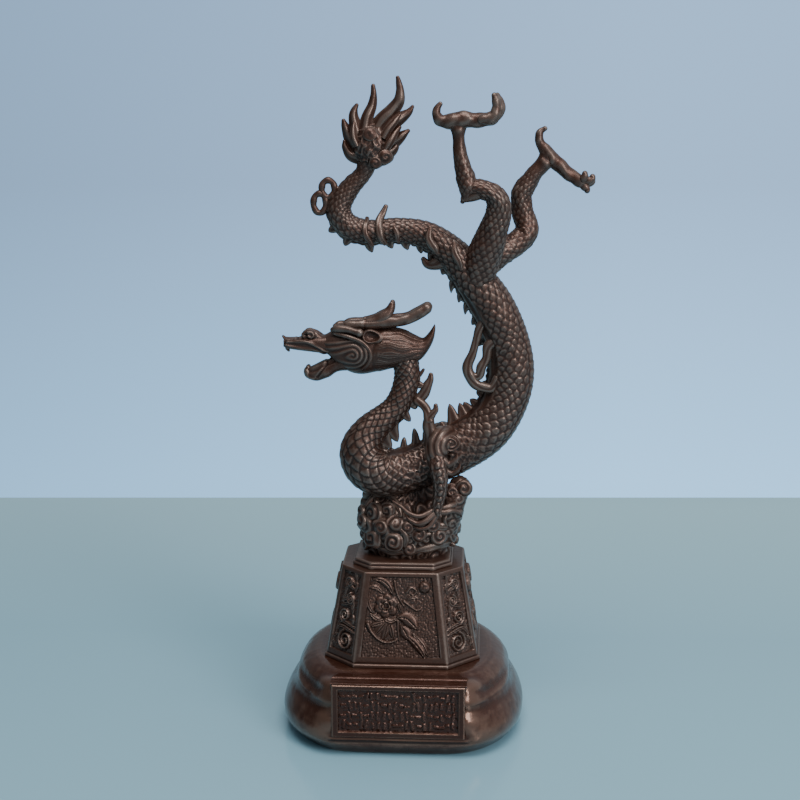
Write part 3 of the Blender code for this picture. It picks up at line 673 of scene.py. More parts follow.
def earShape(side):
    # a leaf-shaped cup with a rolled rim, its point to the back
    def outline(turn):
        return 0.98 + 0.52 * np.maximum(np.cos(turn + 0.1), 0) ** 5 + 0.06 * np.cos(2 * turn)

    def height(share, turn):
        # the rim is highest above and below, and runs out towards the point; inside it the cup is hollow
        rim = 0.26 * hump(share, 0.8, 0.16) * (0.75 + 0.25 * np.abs(np.sin(turn)))
        return rim - 0.26 * (1 - ease(share, 0.2, 0.72)) + 0.16 - 0.1 * np.cos(turn) * share
    turned = (lambda t: outline(np.pi - t)) if side > 0 else outline
    return boss((-16.6, headMiddleY + side * 8.6, 209.5), (-0.12, side, 0.2), 4.1, height, turned, depth=1.1)


def hornField(x, y, z):
    # nearly smooth, with a slow unevenness and a crease round the foot of the horn
    return 0.6 * (lumps(x, y, z, 3.6) - 0.5) - 0.16 * hump(x, -19.6, 0.9)


headParts = {   # x, off the middle, z, radius
    "browRoll": [(-36.0, 6.4, 212.6, 1.5), (-33.5, 7.4, 213.4, 2.1), (-28.5, 8.6, 213.2, 1.8),
                 (-24.6, 9.2, 212.2, 1.7), (-22.2, 9.3, 211.6, 2.1)],
    "underBrow": [(-36.2, 6.0, 210.8, 0.8), (-33.8, 7.4, 210.6, 1.1), (-27, 9.4, 209.2, 1.15),
                  (-21, 9.9, 206.8, 1.15), (-17.4, 9.9, 203.2, 1.15), (-16.5, 9.6, 199, 1.1),
                  (-18.2, 8.9, 195.2, 0.9), (-21.5, 7.9, 192.4, 0.5)],
    "nostril": [(-51.0, 2.7, 209.2, 1.9), (-49.0, 2.7, 209.7, 2.7), (-45.6, 2.7, 208.7, 2.4),
                (-41.0, 2.6, 206.8, 1.2), (-38.4, 2.6, 205.4, 0.5)],
    "horn": [(-30.4, 4.3, 214.4, 1.9), (-27.6, 4.3, 214.9, 2.5), (-23, 4.3, 215.0, 2.6),
             (-16, 4.3, 215.4, 2.9), (-8, 4.1, 216.4, 3.0), (0.5, 3.8, 217.6, 2.8), (7, 3.4, 220.5, 2.9),
             (11.8, 3.2, 223.6, 2.8)],
    "tine": [(-20, 4.1, 215.8, 2.5), (-14.6, 4.1, 217.2, 2.8), (-10.2, 4.1, 219.2, 3.1),
             (-7.5, 4.0, 221.8, 2.5), (-6.3, 3.9, 224.6, 1.8), (-6.0, 3.9, 225.8, 1.4)],
    # in the middle, as x, z and radius, each with its width over its height: the snout's lip is turned up
    # and its corner down, and the chin ends in an upright roll
    "tips": [([(-55, 206.2, 1.6), (-59.5, 206.4, 1.3), (-61.4, 206.9, 1.0), (-62.2, 207.6, 0.7)], 2.6),
             ([(-57, 204.0, 1.8), (-59.6, 203.0, 1.5), (-60.5, 201.9, 1.2), (-60.2, 201.2, 0.8)], 2.4),
             ([(-47.8, 187.0, 1.2), (-49.6, 187.8, 1.8), (-50.0, 189.4, 2.1), (-50.0, 190.8, 1.9),
               (-49.8, 191.6, 1.4)], 1.8)],
}


def onSide(stations, side):
    return [(x, headMiddleY + side * off, z, radius) for x, off, z, radius in stations]


def makeHead():
    skull = emboss(loft(headShape["skull"], headShape["spacing"], headShape["columns"], 2.1), skullField)
    upperJaw = emboss(loft(headShape["upperJaw"], headShape["spacing"], 100, 2.5), upperJawField)
    lowerJaw = emboss(loft(headShape["lowerJaw"], headShape["spacing"], 84, 2.3), lowerJawField)
    parts = [skull, upperJaw, lowerJaw]
    for stations, flat in headParts["tips"]:
        parts.append(tube(atDepth(headMiddleY, stations), 0.36, 32, flat=flat))
    for side in (-1, 1):
        parts.append(tube(onSide(headParts["browRoll"], side), 0.36, 32, ends=(1, 1)))
        parts.append(tube(onSide(headParts["underBrow"], side), 0.42, 24, ends=(1, 1)))
        parts.append(emboss(tube(onSide(headParts["nostril"], side), 0.3, 48, ends=(1, 1)),
                            nostrilField(side)))
        parts.append(earShape(side))
        for name, spacing in (("horn", 0.4), ("tine", 0.35)):
            parts.append(emboss(tube(onSide(headParts[name], side), spacing, 36, ends=(0.8, 1)), hornField))
    makePiece("head", [skin(part) for part in parts], **figureCast)


makeHead()


# Limbs: the hind legs kick up behind, the forelegs stand on the clouds

nearFootY, farFootY = -11.5, 13.0      # the middles of the two hind feet
bellyMiddleY = 2.0                     # the forelegs mirror each other about this
limbPaths = {   # x, y, z, radius
    "nearThigh": [(37, 0, 238, 8.6), (40.7, -3.5, 250, 9.0), (45, -7.5, 262.5, 7.6), (47.8, -10, 274.5, 6.3),
                  (45, -11.3, 281.3, 5.3), (38.5, -11.5, 284.4, 4.6), (30.5, -11.5, 284.6, 4.0)],
    "nearShank": atDepth(nearFootY, [(29.6, 278.0, 1.2), (31.2, 280.6, 2.9), (32.0, 284.5, 4.6),
                                     (31.3, 289.5, 4.8), (29.5, 295.5, 4.1), (28.2, 303, 3.4),
                                     (27.5, 309, 3.0), (27.2, 312.8, 3.7), (27.0, 315.4, 5.2),
                                     (26.9, 317.2, 7.0)]),
    "nearHeel": atDepth(nearFootY, [(30.6, 279.4, 2.0), (34.6, 280.8, 2.9), (39, 283.0, 3.8)]),
    "nearSole": atDepth(nearFootY, [(18.4, 325.8, 1.4), (17.0, 323.8, 1.9), (16.5, 320.8, 2.5),
                                    (18.8, 317.8, 3.3), (24, 317.4, 4.0), (29, 318.3, 4.3),
                                    (35.5, 317.9, 3.9), (40, 318.2, 3.7), (44.0, 319.2, 3.6)]),
    "farLeg": [(39, 3, 243, 7.2), (48.4, 6, 250.4, 6.8), (56.6, 9.5, 254.8, 6.2), (62.6, 12, 261.8, 6.1),
               (60.0, 13, 272, 5.5), (59.9, 13, 280.4, 5.4), (65.0, 13, 289.2, 4.5), (69.2, 13, 294.2, 3.9),
               (71.9, 13, 297.2, 4.8), (73.8, 13, 299.4, 6.8)],
    "farSole": atDepth(farFootY, [(70.9, 313.6, 1.5), (69.0, 312.0, 2.0), (68.3, 309.2, 2.3),
                                  (69.6, 305.2, 2.8), (73.8, 299.8, 3.9), (80, 293.9, 3.8),
                                  (86.0, 289.1, 3.4), (90.2, 286.7, 3.3)]),
    "shoulder": [(24.4, -2.4, 157.4, 3.6), (22.0, -7.0, 156.8, 5.2), (19.4, -10.8, 155.0, 6.4),
                 (17.2, -13.8, 150, 5.6), (17.0, -14.8, 144.6, 4.2)],
    "foreleg": [(17.6, -15.6, 148.0, 3.9), (18.2, -17.4, 142.5, 4.5), (19.4, -18.2, 136, 4.1),
                (19.4, -18.0, 129.5, 3.6), (18.4, -17.8, 123.5, 3.1), (17.6, -17.5, 118.5, 3.2)],
}


def limbRelief(coatFrom, coatTo, rowLength, scalesRound, standOff, flareFrom=99.0):
    # the trunk's coat at a limb's scale, which dies away between two stations to bare skin with tendons;
    # from the last station on the limb widens into the sole but keeps its thickness
    def relief(length, turn, radius, station):
        around = fromBack(turn)
        coat = scaleCoat(length / rowLength + 0.14 * np.sin(length / 4 + 3 * around),
                         around * scalesRound / (2 * np.pi), 1.9 + 0 * station)
        bare = ease(station, coatFrom, coatTo)
        tendon = 0.16 * np.cos(3 * around + 0.7) * bare
        size = np.minimum(1, radius / 5)
        swelling = 0.7 * (lumps(length, radius * around, 0 * around, 4.0) - 0.5)
        thickness = -np.maximum(radius - 3.3, 0) * np.sin(turn) ** 2 * ease(station, flareFrom, flareFrom + 1)
        return ((coat - 0.45) * standOff * (1 - 0.85 * bare) + tendon + swelling) * size + thickness
    return relief


def knuckled(middleY):
    # creases across a sole and its toes, a slow unevenness, and a furrow along the middle
    def field(x, y, z):
        return (0.22 * np.sin(x / 1.15 + 0.9 * np.sin(z / 1.6)) + 0.3 * (lumps(x, y, z, 2.2) - 0.5)
                - 0.25 * hump(y - middleY, 0, 0.5))
    return field


def claw(root, bend, tip):
    # a toe that bends at its knuckle and narrows to its nail, whose end is blunt
    radius, blunt = 2.2, 0.7
    root, bend, tip = (np.array(place, float) for place in (root, bend, tip))
    nail = 0.5 * (bend + tip) + 0.12 * (bend - root)
    stations = [(*root, radius), (*(0.5 * (root + bend)), 0.88 * radius), (*bend, radius),
                (*nail, (0.5 + 0.5 * blunt) * radius), (*tip, blunt * radius)]
    return tube(stations, 0.3, 28)


def makeHindLegs():
    near = [tube(limbPaths["nearThigh"], 0.48, 96, limbRelief(5.0, 6.6, 2.8, 15, 0.5), ends=(0, 0.7)),
            tube(limbPaths["nearShank"], 0.48, 66, limbRelief(3.6, 5.4, 2.4, 10, 0.42, 6.6), ends=(1, 0)),
            tube(limbPaths["nearHeel"], 0.48, 36, ends=(1, 0.3)),
            emboss(tube(limbPaths["nearSole"], 0.42, 50, ends=(1, 1)), knuckled(nearFootY))]
    for spread in (-1, 0, 1):           # three toes held close together, turned up
        y, x, slim = nearFootY + 2.7 * spread, 0.9 * spread, abs(spread)
        toe = [(38.5, y, 318.2, 2.2), (42.4, y, 318.8, 3.2), (46.0 + x, y, 320.8, 3.1 - 0.4 * slim),
               (47.2 + x, y, 324.4, 2.6 - 0.3 * slim), (46.6 + x, y, 327.6, 2.1), (45.6 + x, y, 329.8, 1.4)]
        near.append(emboss(tube(toe, 0.36, 30, ends=(1, 1)), knuckled(nearFootY)))
    far = [tube(limbPaths["farLeg"], 0.48, 80, limbRelief(5.2, 7.2, 2.6, 13, 0.45, 7.4), ends=(0, 0)),
           emboss(tube(limbPaths["farSole"], 0.42, 50, ends=(1, 1)), knuckled(farFootY))]
    for bend, tip in (((91.0, 10.6, 288.6), (91.7, 10.0, 291.0)), ((94.0, 12.6, 287.4), (95.8, 12.4, 289.3)),
                      ((94.2, 16.4, 286.0), (96.2, 17.0, 287.4)), ((92.0, 12.4, 284.2), (93.2, 12.0, 282.4))):
        far.append(claw((88.6, farFootY + 0.3 * (bend[1] - farFootY), 286.8), bend, tip))
    makePiece("hindLegNear", [skin(part) for part in near], **figureCast)
    makePiece("hindLegFar", [skin(part) for part in far], **figureCast)


def shoulderCurl(share, turn):
    # spiral that winds out from the middle of the shoulder
    wind = 0.5 + 0.5 * np.cos(2 * np.pi * 2.3 * share - turn - 1.2)
    return 0.62 * np.sqrt(np.maximum(1 - 0.86 * share ** 2, 0)) + 0.16 * wind * ease(share, 0.05, 0.25) - 0.08


def shoulderFolds(x, y, z):
    # rounded folds about the curl of the shoulder
    fromCurl = np.hypot(x - 25.4, z - 153.6)
    return 0.5 * np.abs(np.sin(np.pi * fromCurl / 3.1)) + 0.7 * (lumps(x, y, z, 3.4) - 0.5)


foreShape = {
    # long toes that reach over the clouds, and two thumbs behind: x, y, z, radius
    "toes": [[(16.6, -18.0, 119.6, 1.9), (9.4, -20.4, 116.9, 1.35), (3.6, -20.0, 118.2, 1.2),
              (-0.4, -18.6, 121.2, 0.95), (-5.0, -16.6, 123.6, 0.5)],
             [(17.0, -18.6, 118.4, 2.0), (12.0, -21.2, 114.4, 1.6), (8.0, -21.2, 113.2, 1.4),
              (4.6, -20.4, 114.4, 1.1), (1.9, -19.4, 116.4, 0.5)],
             [(17.6, -18.4, 117.4, 1.8), (14.0, -21.0, 111.8, 1.3), (9.4, -21.4, 110.4, 1.0),
              (6.0, -20.6, 111.4, 0.5)],
             [(17.4, -17.4, 118.8, 2.0), (21.6, -18.4, 118.6, 1.5), (25.2, -17.2, 119.2, 1.35),
              (29.0, -14.0, 117.4, 1.1), (30.6, -12.0, 114.8, 0.5)],
             [(17.8, -16.6, 120.4, 1.8), (21.0, -17.0, 120.6, 1.4), (24.6, -15.4, 121.2, 1.7),
              (27.0, -13.6, 121.8, 1.2)]],
    "elbowLicks": [(25.6, -16.6, 143.0, 1.6), (27.0, -16.2, 138.0, 1.3)],      # middle, radius
    "curl": (24.6, -13.0, 154.2), "curlRadius": 4.5,           # the spiral on the shoulder
    "farDrop": 2.4,                                            # how much lower the far shoulder sits
}


def forelegRelief(length, turn, radius, station):
    # a row of beads between two ridges down the -Y side, and fine scales
    around = fromBack(turn)
    coat = scaleCoat(length / 2.3, around * 10 / (2 * np.pi), 1.7 + 0 * station) - 0.45
    bead = np.abs(np.sin(np.pi * length / 3.4)) ** 0.7 * hump(around, 1.45, 0.30)
    guard = 0.35 * hump(around, 0.8, 0.16) + 0.35 * hump(around, 2.2, 0.16)
    return 0.42 * coat + 0.75 * bead + guard


def makeForeleg(side):
    # side -1 is near; the far leg is its mirror
    def across(place, drop=0.0):
        x, y, z, *radius = place
        return (x, bellyMiddleY + side * (bellyMiddleY - y), z - drop, *radius)
    drop = foreShape["farDrop"] if side > 0 else 0.0
    leg = [across(place) for place in limbPaths["foreleg"]]
    upper = [across(place, drop) for place in limbPaths["shoulder"]]
    parts = [tube(leg, 0.42, 64, forelegRelief, ends=(1, 0.8)),
             emboss(tube(upper, 0.42, 64, ends=(0.9, 1)), shoulderFolds),
             boss(across(foreShape["curl"], drop), (0.25, side, 0.05), foreShape["curlRadius"], shoulderCurl,
                  lambda turn: 1 + 0.06 * np.cos(3 * turn), depth=1.2)]
    parts += [tube([across(place) for place in toe], 0.42, 26, ends=(0, 1)) for toe in foreShape["toes"]]
    for x, y, z, radius in foreShape["elbowLicks"]:
        lick = [(20.5, -17.0, z + 3.0, radius + 0.6), (x - 1.6, y, z + 1.0, radius),
                (x + 1.8, y, z + 3.4, 0.8 * radius), (x + 2.6, y, z + 6.4, 0.3)]
        parts.append(tube([across(place) for place in lick], 0.4, 24, flat=0.7))
    return parts


def makeForelegs():
    for name, side in (("forelegNear", -1), ("forelegFar", 1)):
        makePiece(name, [skin(part) for part in makeForeleg(side)], **figureCast)


makeHindLegs()
makeForelegs()


# Fins, ribbons and the flame of the tail

crestShape = {
    # place by the trunk's station, height, length, lean towards the tail
    "fins": [(1.1, 3.2, 3.8, 0.2), (1.6, 2.8, 3.6, 0.4), (2.0, 4.6, 5.0, 0.4), (2.45, 7.0, 8.4, 0.4),
             (2.8, 6.4, 9.6, 0.2), (3.3, 2.2, 4.8, 0.1), (4.3, 1.6, 3.4, 0.2), (5.0, 1.6, 3.2, 0.2),
             (5.7, 1.4, 3.4, 0.2), (6.2, 1.6, 3.2, 0.2), (6.62, 5.6, 3.4, 0.4), (7.02, 8.2, 4.4, 0.3),
             (7.4, 4.6, 4.0, 0.3), (7.66, 3.4, 3.4, 0.4), (7.92, 3.8, 3.6, 0.4), (8.26, 9.8, 7.6, 0.35),
             (8.62, 7.2, 6.4, 0.4), (9.0, 5.8, 6.2, 0.3), (9.45, 4.2, 5.0, 0.2), (9.9, 3.6, 4.4, 0.2),
             (10.4, 2.8, 4.6, 0.2), (11.5, 2.6, 4.6, -0.3), (12.2, 3.6, 5.0, -0.4), (12.9, 2.8, 5.0, -0.4),
             (13.5, 3.8, 5.0, -0.8), (13.9, 3.2, 4.8, -0.6), (14.35, 4.0, 5.0, -0.8), (14.9, 2.8, 5.0, -0.3),
             (15.5, 3.8, 5.2, -0.4), (16.1, 3.0, 5.0, -0.4), (16.7, 3.6, 5.6, -0.3),
             (17.3, 3.4, 5.4, -0.2), (17.9, 4.4, 5.6, -0.2), (18.6, 3.8, 5.4, 0.2), (19.2, 3.2, 5.0, 0.3),
             (19.9, 2.2, 4.2, 0.3), (20.6, 1.8, 3.6, 0.3)],
    "thickness": 3.2,
}


def fin(centre, along, across, back, radius, height, length, lean):
    # a flame-shaped blade: its half length shrinks as a curve towards the hooked tip, and each of its faces
    # is ridged along
    rise = np.linspace(0, 1, 15)[:, None]
    turn = stepsRound(24)
    rounded = np.sqrt(1 - 0.98 * rise ** 6)
    half = (0.55 * length * (1 - rise) ** 0.8 * (1 - 0.25 * np.sin(np.pi * rise)) + 1.0) * rounded
    thick = (0.5 * crestShape["thickness"] * (1 - 0.4 * rise) * (1 - 0.25 * np.cos(4 * turn) * (1 - rise))
             * rounded)
    middleLine = (centre + (radius - 1.6 + (height + 1.4) * rise[..., None]) * back
                  + (lean * height * rise ** 2.2 + 0.12 * height * np.sin(np.pi * rise))[..., None] * along)
    return middleLine + (half * np.cos(turn))[..., None] * along + (thick * np.sin(turn))[..., None] * across


def makeCrest():
    curve, _, station = curveThrough(trunkShape["path"], 0.5)
    along, across, back = framesAlong(curve[:, :3])
    parts = []
    for place, height, length, lean in crestShape["fins"]:
        i = np.argmin(np.abs(station - place))
        parts.append(fin(curve[i, :3], along[i], across[i], back[i], curve[i, 3], height, length, lean))
    makePiece("crest", [skin(part) for part in parts], **figureCast)


ribbonPaths = {   # x, y, z, radius
    "neckFlame": atDepth(-5, [(4.6, 172.6, 3.0), (8.6, 176.6, 2.9), (11.8, 181.4, 2.7), (13.4, 185.4, 2.0),
                              (13.9, 188.8, 1.2)]),
    "neckHook": atDepth(-5, [(4.6, 187.0, 2.0), (7.6, 187.8, 1.3), (9.2, 189.8, 1.0), (10.2, 191.4, 0.7)]),
    "elbowFlame": [(16.4, -7, 150, 4.6), (14.6, -8, 156, 4.4), (13.6, -9, 162, 3.5), (13.2, -9.5, 166.4, 2.7),
                   (15.0, -10, 169.0, 2.0), (16.8, -10, 171.0, 1.6), (16.8, -10, 173.6, 1.1)],
    "elbowCurl": [(13.4, -10, 165, 2.6), (12.6, -9, 169.4, 2.4), (10.4, -8, 172.6, 2.3),
                  (7.2, -6.6, 175.4, 2.6)],
    "backLoop": atDepth(-1, [(43, 220, 2.8), (38.0, 210, 2.2), (36.4, 202, 2.1), (33.6, 195, 2.6),
                             (33.6, 188, 3.0), (38.6, 182.4, 2.7), (45, 181.0, 2.6), (49, 186, 2.8)]),
    "backLoopInner": atDepth(-1, [(50, 208, 3.4), (43.8, 203, 2.8), (42.2, 196.4, 2.3), (40.0, 191.4, 2.6),
                                  (38.4, 187.4, 2.2), (34.6, 187.6, 2.0)]),
    "tailSpike": [(-9.5, -4.8, 256.0, 1.2), (-11.8, -6.5, 260.0, 1.9), (-12.8, -4.8, 265.0, 2.1),
                  (-11.8, -1.5, 270.0, 1.9), (-9.4, 0, 274.8, 1.2)],
    "tailBand": [(-19.0, -1, 268.8, 1.1), (-19.6, -5.4, 265.2, 1.4), (-19.2, -6.9, 260.5, 1.5),
                 (-16.2, -5.0, 255.2, 1.1)],
    "tailLeaf": [(-5.2, -6.3, 265.0, 0.8), (-3.6, -7.1, 261.4, 1.5), (-2.6, -6.4, 257.4, 0.8)],
    "hipBand": [(13.2, -5.0, 264.6, 1.2), (12.6, -6.2, 259.5, 1.9), (15.5, -6.8, 254.4, 2.1),
                (17.0, -7.0, 251.4, 0.9)],
    "hipLeaf": [(25.6, -6.4, 257.0, 0.9), (25.6, -7.4, 252.6, 1.8), (28.0, -7.6, 248.0, 1.9),
                (29.2, -7.4, 243.6, 1.0)],
    "hipHook": atDepth(2, [(21, 248.6, 5.0), (15.6, 245.4, 3.8), (12.0, 245.2, 2.6), (9.6, 248.0, 1.3)]),
}
ringShape = [(-39.0, 0, 283.5, 3.3, 4.3, 1.7), (-43.4, 0, 276.2, 3.2, 4.9, 1.7)]   # middle, halves, radius


def whiskerRing(x, y, z, halfWidth, halfHeight, radius):
    # closed loop: a circle carried round an upright ellipse, swelling and narrowing five times on its way
    turn, around = stepsRound(48)[:, None], stepsRound(22)
    reach = radius * (1 + 0.08 * np.sin(5 * turn))
    points = np.stack([x + (halfWidth + reach * np.cos(around)) * np.cos(turn),
                       y + reach * np.sin(around) + 0 * turn,
                       z + (halfHeight + reach * np.cos(around)) * np.sin(turn)], axis=2)
    return skin(points, np.full(points.shape[:2], 0.62), ring=True)


def ribbonRelief(length, turn, radius, station):
    # a slow ripple over the back and the belly, and one furrow along each face
    return (0.12 * radius * np.sin(length / 1.7) * np.cos(turn)
            - 0.16 * radius * (hump(turn, np.pi / 2, 0.35) + hump(turn, 3 * np.pi / 2, 0.35)))


def makeRibbons():
    parts = [skin(tube(path, 0.52, 26, ribbonRelief, ends=(0.6, 0.8))) for path in ribbonPaths.values()]
    parts += [whiskerRing(*ring) for ring in ringShape]
    makePiece("ribbons", parts, **figureCast)


flameShape = {
    "licks": [   # x, y, z, radius
        [(-15.6, 0.5, 309, 4.6), (-11.6, 0.5, 317, 4.1), (-6.3, 0, 322.3, 3.3), (-3.0, 0, 327.5, 2.9),
         (-2.2, 0, 332.5, 2.1), (-2.9, 0, 336.5, 1.5), (-3.5, 0, 338.8, 1.0)],
        [(-20, -1, 309, 4.2), (-19, -1, 318.5, 3.0), (-16.4, 0, 324.6, 2.3), (-15.7, 0, 330, 1.7),
         (-15.8, 0, 334.8, 1.1)],
        [(-22, 0, 307, 4.2), (-24.6, 0, 314, 3.3), (-25.7, 0, 319.4, 2.4), (-25.2, 0, 323.0, 1.7),
         (-24.1, 0, 325.3, 1.0)],
        [(-23.4, 1, 304, 4), (-28.0, 1, 309.5, 3.0), (-29.9, 0.5, 314.5, 2.0), (-30.8, 0, 317.6, 1.1)],
        [(-22, 0, 300, 4.2), (-27.0, 0, 300.8, 3.0), (-29.9, 0, 304.4, 1.9), (-30.5, 0, 307.4, 0.9)],
        [(-12, -1, 308, 4.6), (-7, -1, 315.6, 3.8), (-1.6, 0, 319.0, 2.8), (2.0, 0, 321.8, 1.9),
         (4.0, 0, 324.6, 0.9)],
        [(-12, 0.5, 304, 4.4), (-6.4, 0.5, 306.8, 3.5), (-1.8, 0, 309.8, 2.4), (1.9, 0, 312.6, 1.0)],
        [(-12, 0, 301, 4.2), (-7.4, 0, 302.4, 3.2), (-4.8, 0, 304.6, 2.0), (-3.8, 0, 306.6, 0.9)],
        [(-15, 0, 299.5, 4.2), (-10.8, 0, 298.4, 3.2), (-8.6, 0, 299.6, 2.2), (-7.8, 0, 301.6, 1.0)]],
    # lower licks that hug the bulb on both faces: x, off the middle, z, radius
    "faceLicks": [
        [(-9.6, 5.0, 303.0, 1.8), (-7.0, 5.2, 307.4, 2.2), (-4.6, 4.0, 311.6, 1.6), (-2.4, 2.6, 314.4, 0.8)],
        [(-10.4, 5.2, 309.0, 2.0), (-7.6, 5.0, 313.6, 2.0), (-4.6, 4.0, 317.4, 1.5), (-2.2, 2.6, 320.4, 0.7)],
        [(-23.4, 5.0, 305.0, 1.8), (-25.2, 4.8, 309.4, 1.9), (-25.6, 3.6, 313.6, 1.4),
         (-25.2, 2.6, 316.6, 0.7)]],
    # a domed knob and two curls on both faces: x, off the middle, z, radius, windings
    "curls": [(-17.0, 7.0, 311.0, 3.6, 0.6), (-9.4, 6.0, 299.8, 3.8, 1.3), (-14.4, 6.6, 296.8, 3.2, 1.2)],
    "bulb": (-16.6, 305.0, 9.6, 8.4, 11.0),      # middle's x and z, half width, half depth, half height
    "wearAndPaintedLightShare": 0.88,                           # scaled down on the flame: darker, with more painted shade and fewer painted highlights
}


def lickRelief(length, turn, radius, station):
    # four long furrows round a lick, which die out at its tip, and a slow twist
    depth = 0.10 * radius * (1 - ease(station, 2.2, 3.4))
    return depth * np.cos(4 * turn) + 0.06 * radius * np.sin(length / 2.1 + turn)


def curlHeight(winds, handed, ridgeRise):
    # domed knob with a spiral ridge that winds out of its middle
    def height(share, turn):
        ridge = 0.5 + 0.5 * np.cos(2 * np.pi * winds * share - handed * turn)
        return (0.5 * np.sqrt(np.maximum(1 - 0.9 * share ** 2, 0)) + ridgeRise * (ridge ** 0.8 - 0.5)
                * ease(share, 0.04, 0.2) * (1 - 0.5 * ease(share, 0.85, 1.0)))
    return height


def makeTailFlame():
    # a bulb covered with scrolls, licks that rise from it, and curls round its root
    bulbX, bulbZ, wide, deep, high = flameShape["bulb"]
    turn = np.linspace(0, np.pi, 60)[1:-1, None]
    around = stepsRound(128)
    bulb = np.stack([bulbX + wide * np.sin(turn) * np.cos(around), deep * np.sin(turn) * np.sin(around),
                     bulbZ + high * np.cos(turn) + 0 * around], axis=2)
    bulb = emboss(bulb, lambda x, y, z: 0.8 * (scrollCells(9 * np.arctan2(y, x - bulbX), z, 5.0) - 0.6)
                  + 0.7 * (knots(x, y, z, 2.8) - 0.4))
    parts = [bulb] + [tube(lick, 0.48, 32, lickRelief, flat=0.9) for lick in flameShape["licks"]]
    for side in (-1, 1):
        parts += [tube([(x, side * off, z, radius) for x, off, z, radius in lick], 0.45, 22, lickRelief)
                  for lick in flameShape["faceLicks"]]
        for number, (x, off, z, radius, winds) in enumerate(flameShape["curls"]):
            facing = (0.03 * (x + 17), side, 0.03 * (z - 305))
            handed = side if number % 2 else -side
            parts.append(boss((x, side * off, z), facing, radius, curlHeight(winds, handed, 0.14),
                              rows=16, columns=46))
    skins = [skin(part, flameShape["wearAndPaintedLightShare"] * wearAndPaintedLightOf(part)) for part in parts]
    makePiece("tailFlame", skins, **figureCast)


makeCrest()
makeRibbons()
makeTailFlame()


# Clouds and the figure's plate

cloudShape = {
    "core": [   # z, middle's x, half width, half depth
        (92, 2, 20.6, 17.6), (96, 2, 21.8, 18.6), (101, 2.4, 23.0, 20.0), (106, 2.0, 26.6, 20.8),
        (111.5, 2.2, 26.8, 20.8), (116.5, 4.6, 21.6, 17.0), (120, 5.0, 19.6, 12.5), (125, 5.6, 17.5, 8.5),
        (130, 7, 12, 6)],
    "middleX": 3.5, "middleY": 1.6,
    "scrolls": [   # x, z, radius, windings, hand, squareness of the outline
        (-15.4, 114.8, 6.0, 1.9, 1, 0.0), (-8.0, 117.2, 4.6, 1.6, -1, 0.05), (-21.6, 110.2, 3.8, 1.2, 1, 0.0),
        (-15.6, 102.6, 6.0, 1.6, -1, 0.08), (-4.6, 102.2, 5.4, 1.7, 1, 0.04), (23.6, 113.0, 5.0, 1.8, 1, 0.0),
        (28.4, 116.6, 3.6, 1.2, -1, 0.0), (18.4, 104.8, 5.2, 1.7, -1, 0.0), (25.4, 103.4, 4.6, 1.6, 1, 0.0),
        (-20.6, 103.4, 4.2, 1.3, 1, 0.0), (8.4, 106.4, 4.0, 1.3, 1, 0.0), (-15.8, 119.0, 3.4, 1.2, 1, 0.0),
        (26.6, 122.0, 4.0, 1.3, 1, 0.0), (2.6, 110.6, 3.4, 1.2, -1, 0.0), (-11.2, 109.4, 3.8, 1.2, 1, 0.0),
        (15.6, 111.4, 4.0, 1.3, -1, 0.0), (3.4, 98.4, 3.8, 1.2, 1, 0.0), (-20.0, 96.6, 3.2, 1.2, -1, 0.0),
        (-22.4, 115.0, 3.4, 1.1, -1, 0.0), (10.4, 113.4, 3.2, 1.1, 1, 0.0)],
    "crown": [(31.4, 129.2, 4.6, 1.4, 1), (24.8, 127.0, 4.8, 1.5, -1)],     # on the pillar, in front only
    "crownY": -9.2,
    "wisps": [   # x, z, radius
        [(-23.0, 110.0, 1.4), (-19.4, 117.6, 1.8), (-14.0, 122.8, 2.0), (-8.2, 123.6, 2.0),
         (-3.6, 121.0, 1.8), (-0.8, 115.6, 1.1)],
        [(-12.4, 97.0, 1.2), (-6, 95.8, 1.6), (0.4, 96.4, 1.2)],
        [(5.4, 96.4, 1.2), (12, 98.4, 2.4), (18.0, 99.2, 2.8), (23.4, 98.2, 2.0), (26.8, 97.0, 1.0)],
        [(-0.6, 109.2, 1.0), (1.4, 106.6, 1.5), (2.2, 103.6, 1.6), (1.4, 100.4, 1.3)],
        [(13.8, 108.4, 1.0), (17.6, 109.6, 1.5), (21.6, 108.8, 1.4), (24.2, 108.2, 0.8)]],
    "pillar": [(21, -6, 106, 6.8), (24.2, -6, 116, 6.8), (26.6, -5.4, 123.0, 6.4), (29.4, -4.4, 128.6, 5.6)],
    "cell": 8.8,              # size of the small scrolls that fill the rest
}


def heapSurface(x, z, side):
    # the heap's y at a place on its front (side -1) or back, and which way it faces there
    heights, middleX, width, depth = np.array(cloudShape["core"], float).T
    across, wide, deep = (np.interp(z, heights, column) for column in (middleX, width, depth))
    share = np.clip((x - across) / wide, -0.94, 0.94)
    y = side * deep * np.sqrt(1 - share ** 2)
    return cloudShape["middleY"] + y, np.stack([share / wide, y / deep ** 2, 0.1 / deep + 0 * y], axis=-1)


def cloudField(x, y, z):
    # small scrolls, and a hollow under the belly
    hollow = -4.5 * hump(x, 7, 8) * ease(z, 114, 119) * ease(np.abs(y), 2, 8)
    return 2.2 * (scrollCells(20 * np.arctan2(y, x - 3), z, cloudShape["cell"]) - 0.6) + hollow


def turnedOver(x, side):
    # the back's clouds, side 1, are the front's, turned over about the middle
    return x if side < 0 else 2 * cloudShape["middleX"] - x


def cloudCurl(place, facing, radius, winds, handed, square=0.0):
    return boss(place, facing, radius, curlHeight(winds, handed, 0.15),
                lambda turn: 1 - square * np.cos(4 * turn) + 0.05 * np.cos(turn),
                rows=int(7 + 2 * radius), columns=int(28 + 4.2 * radius), depth=0.8)


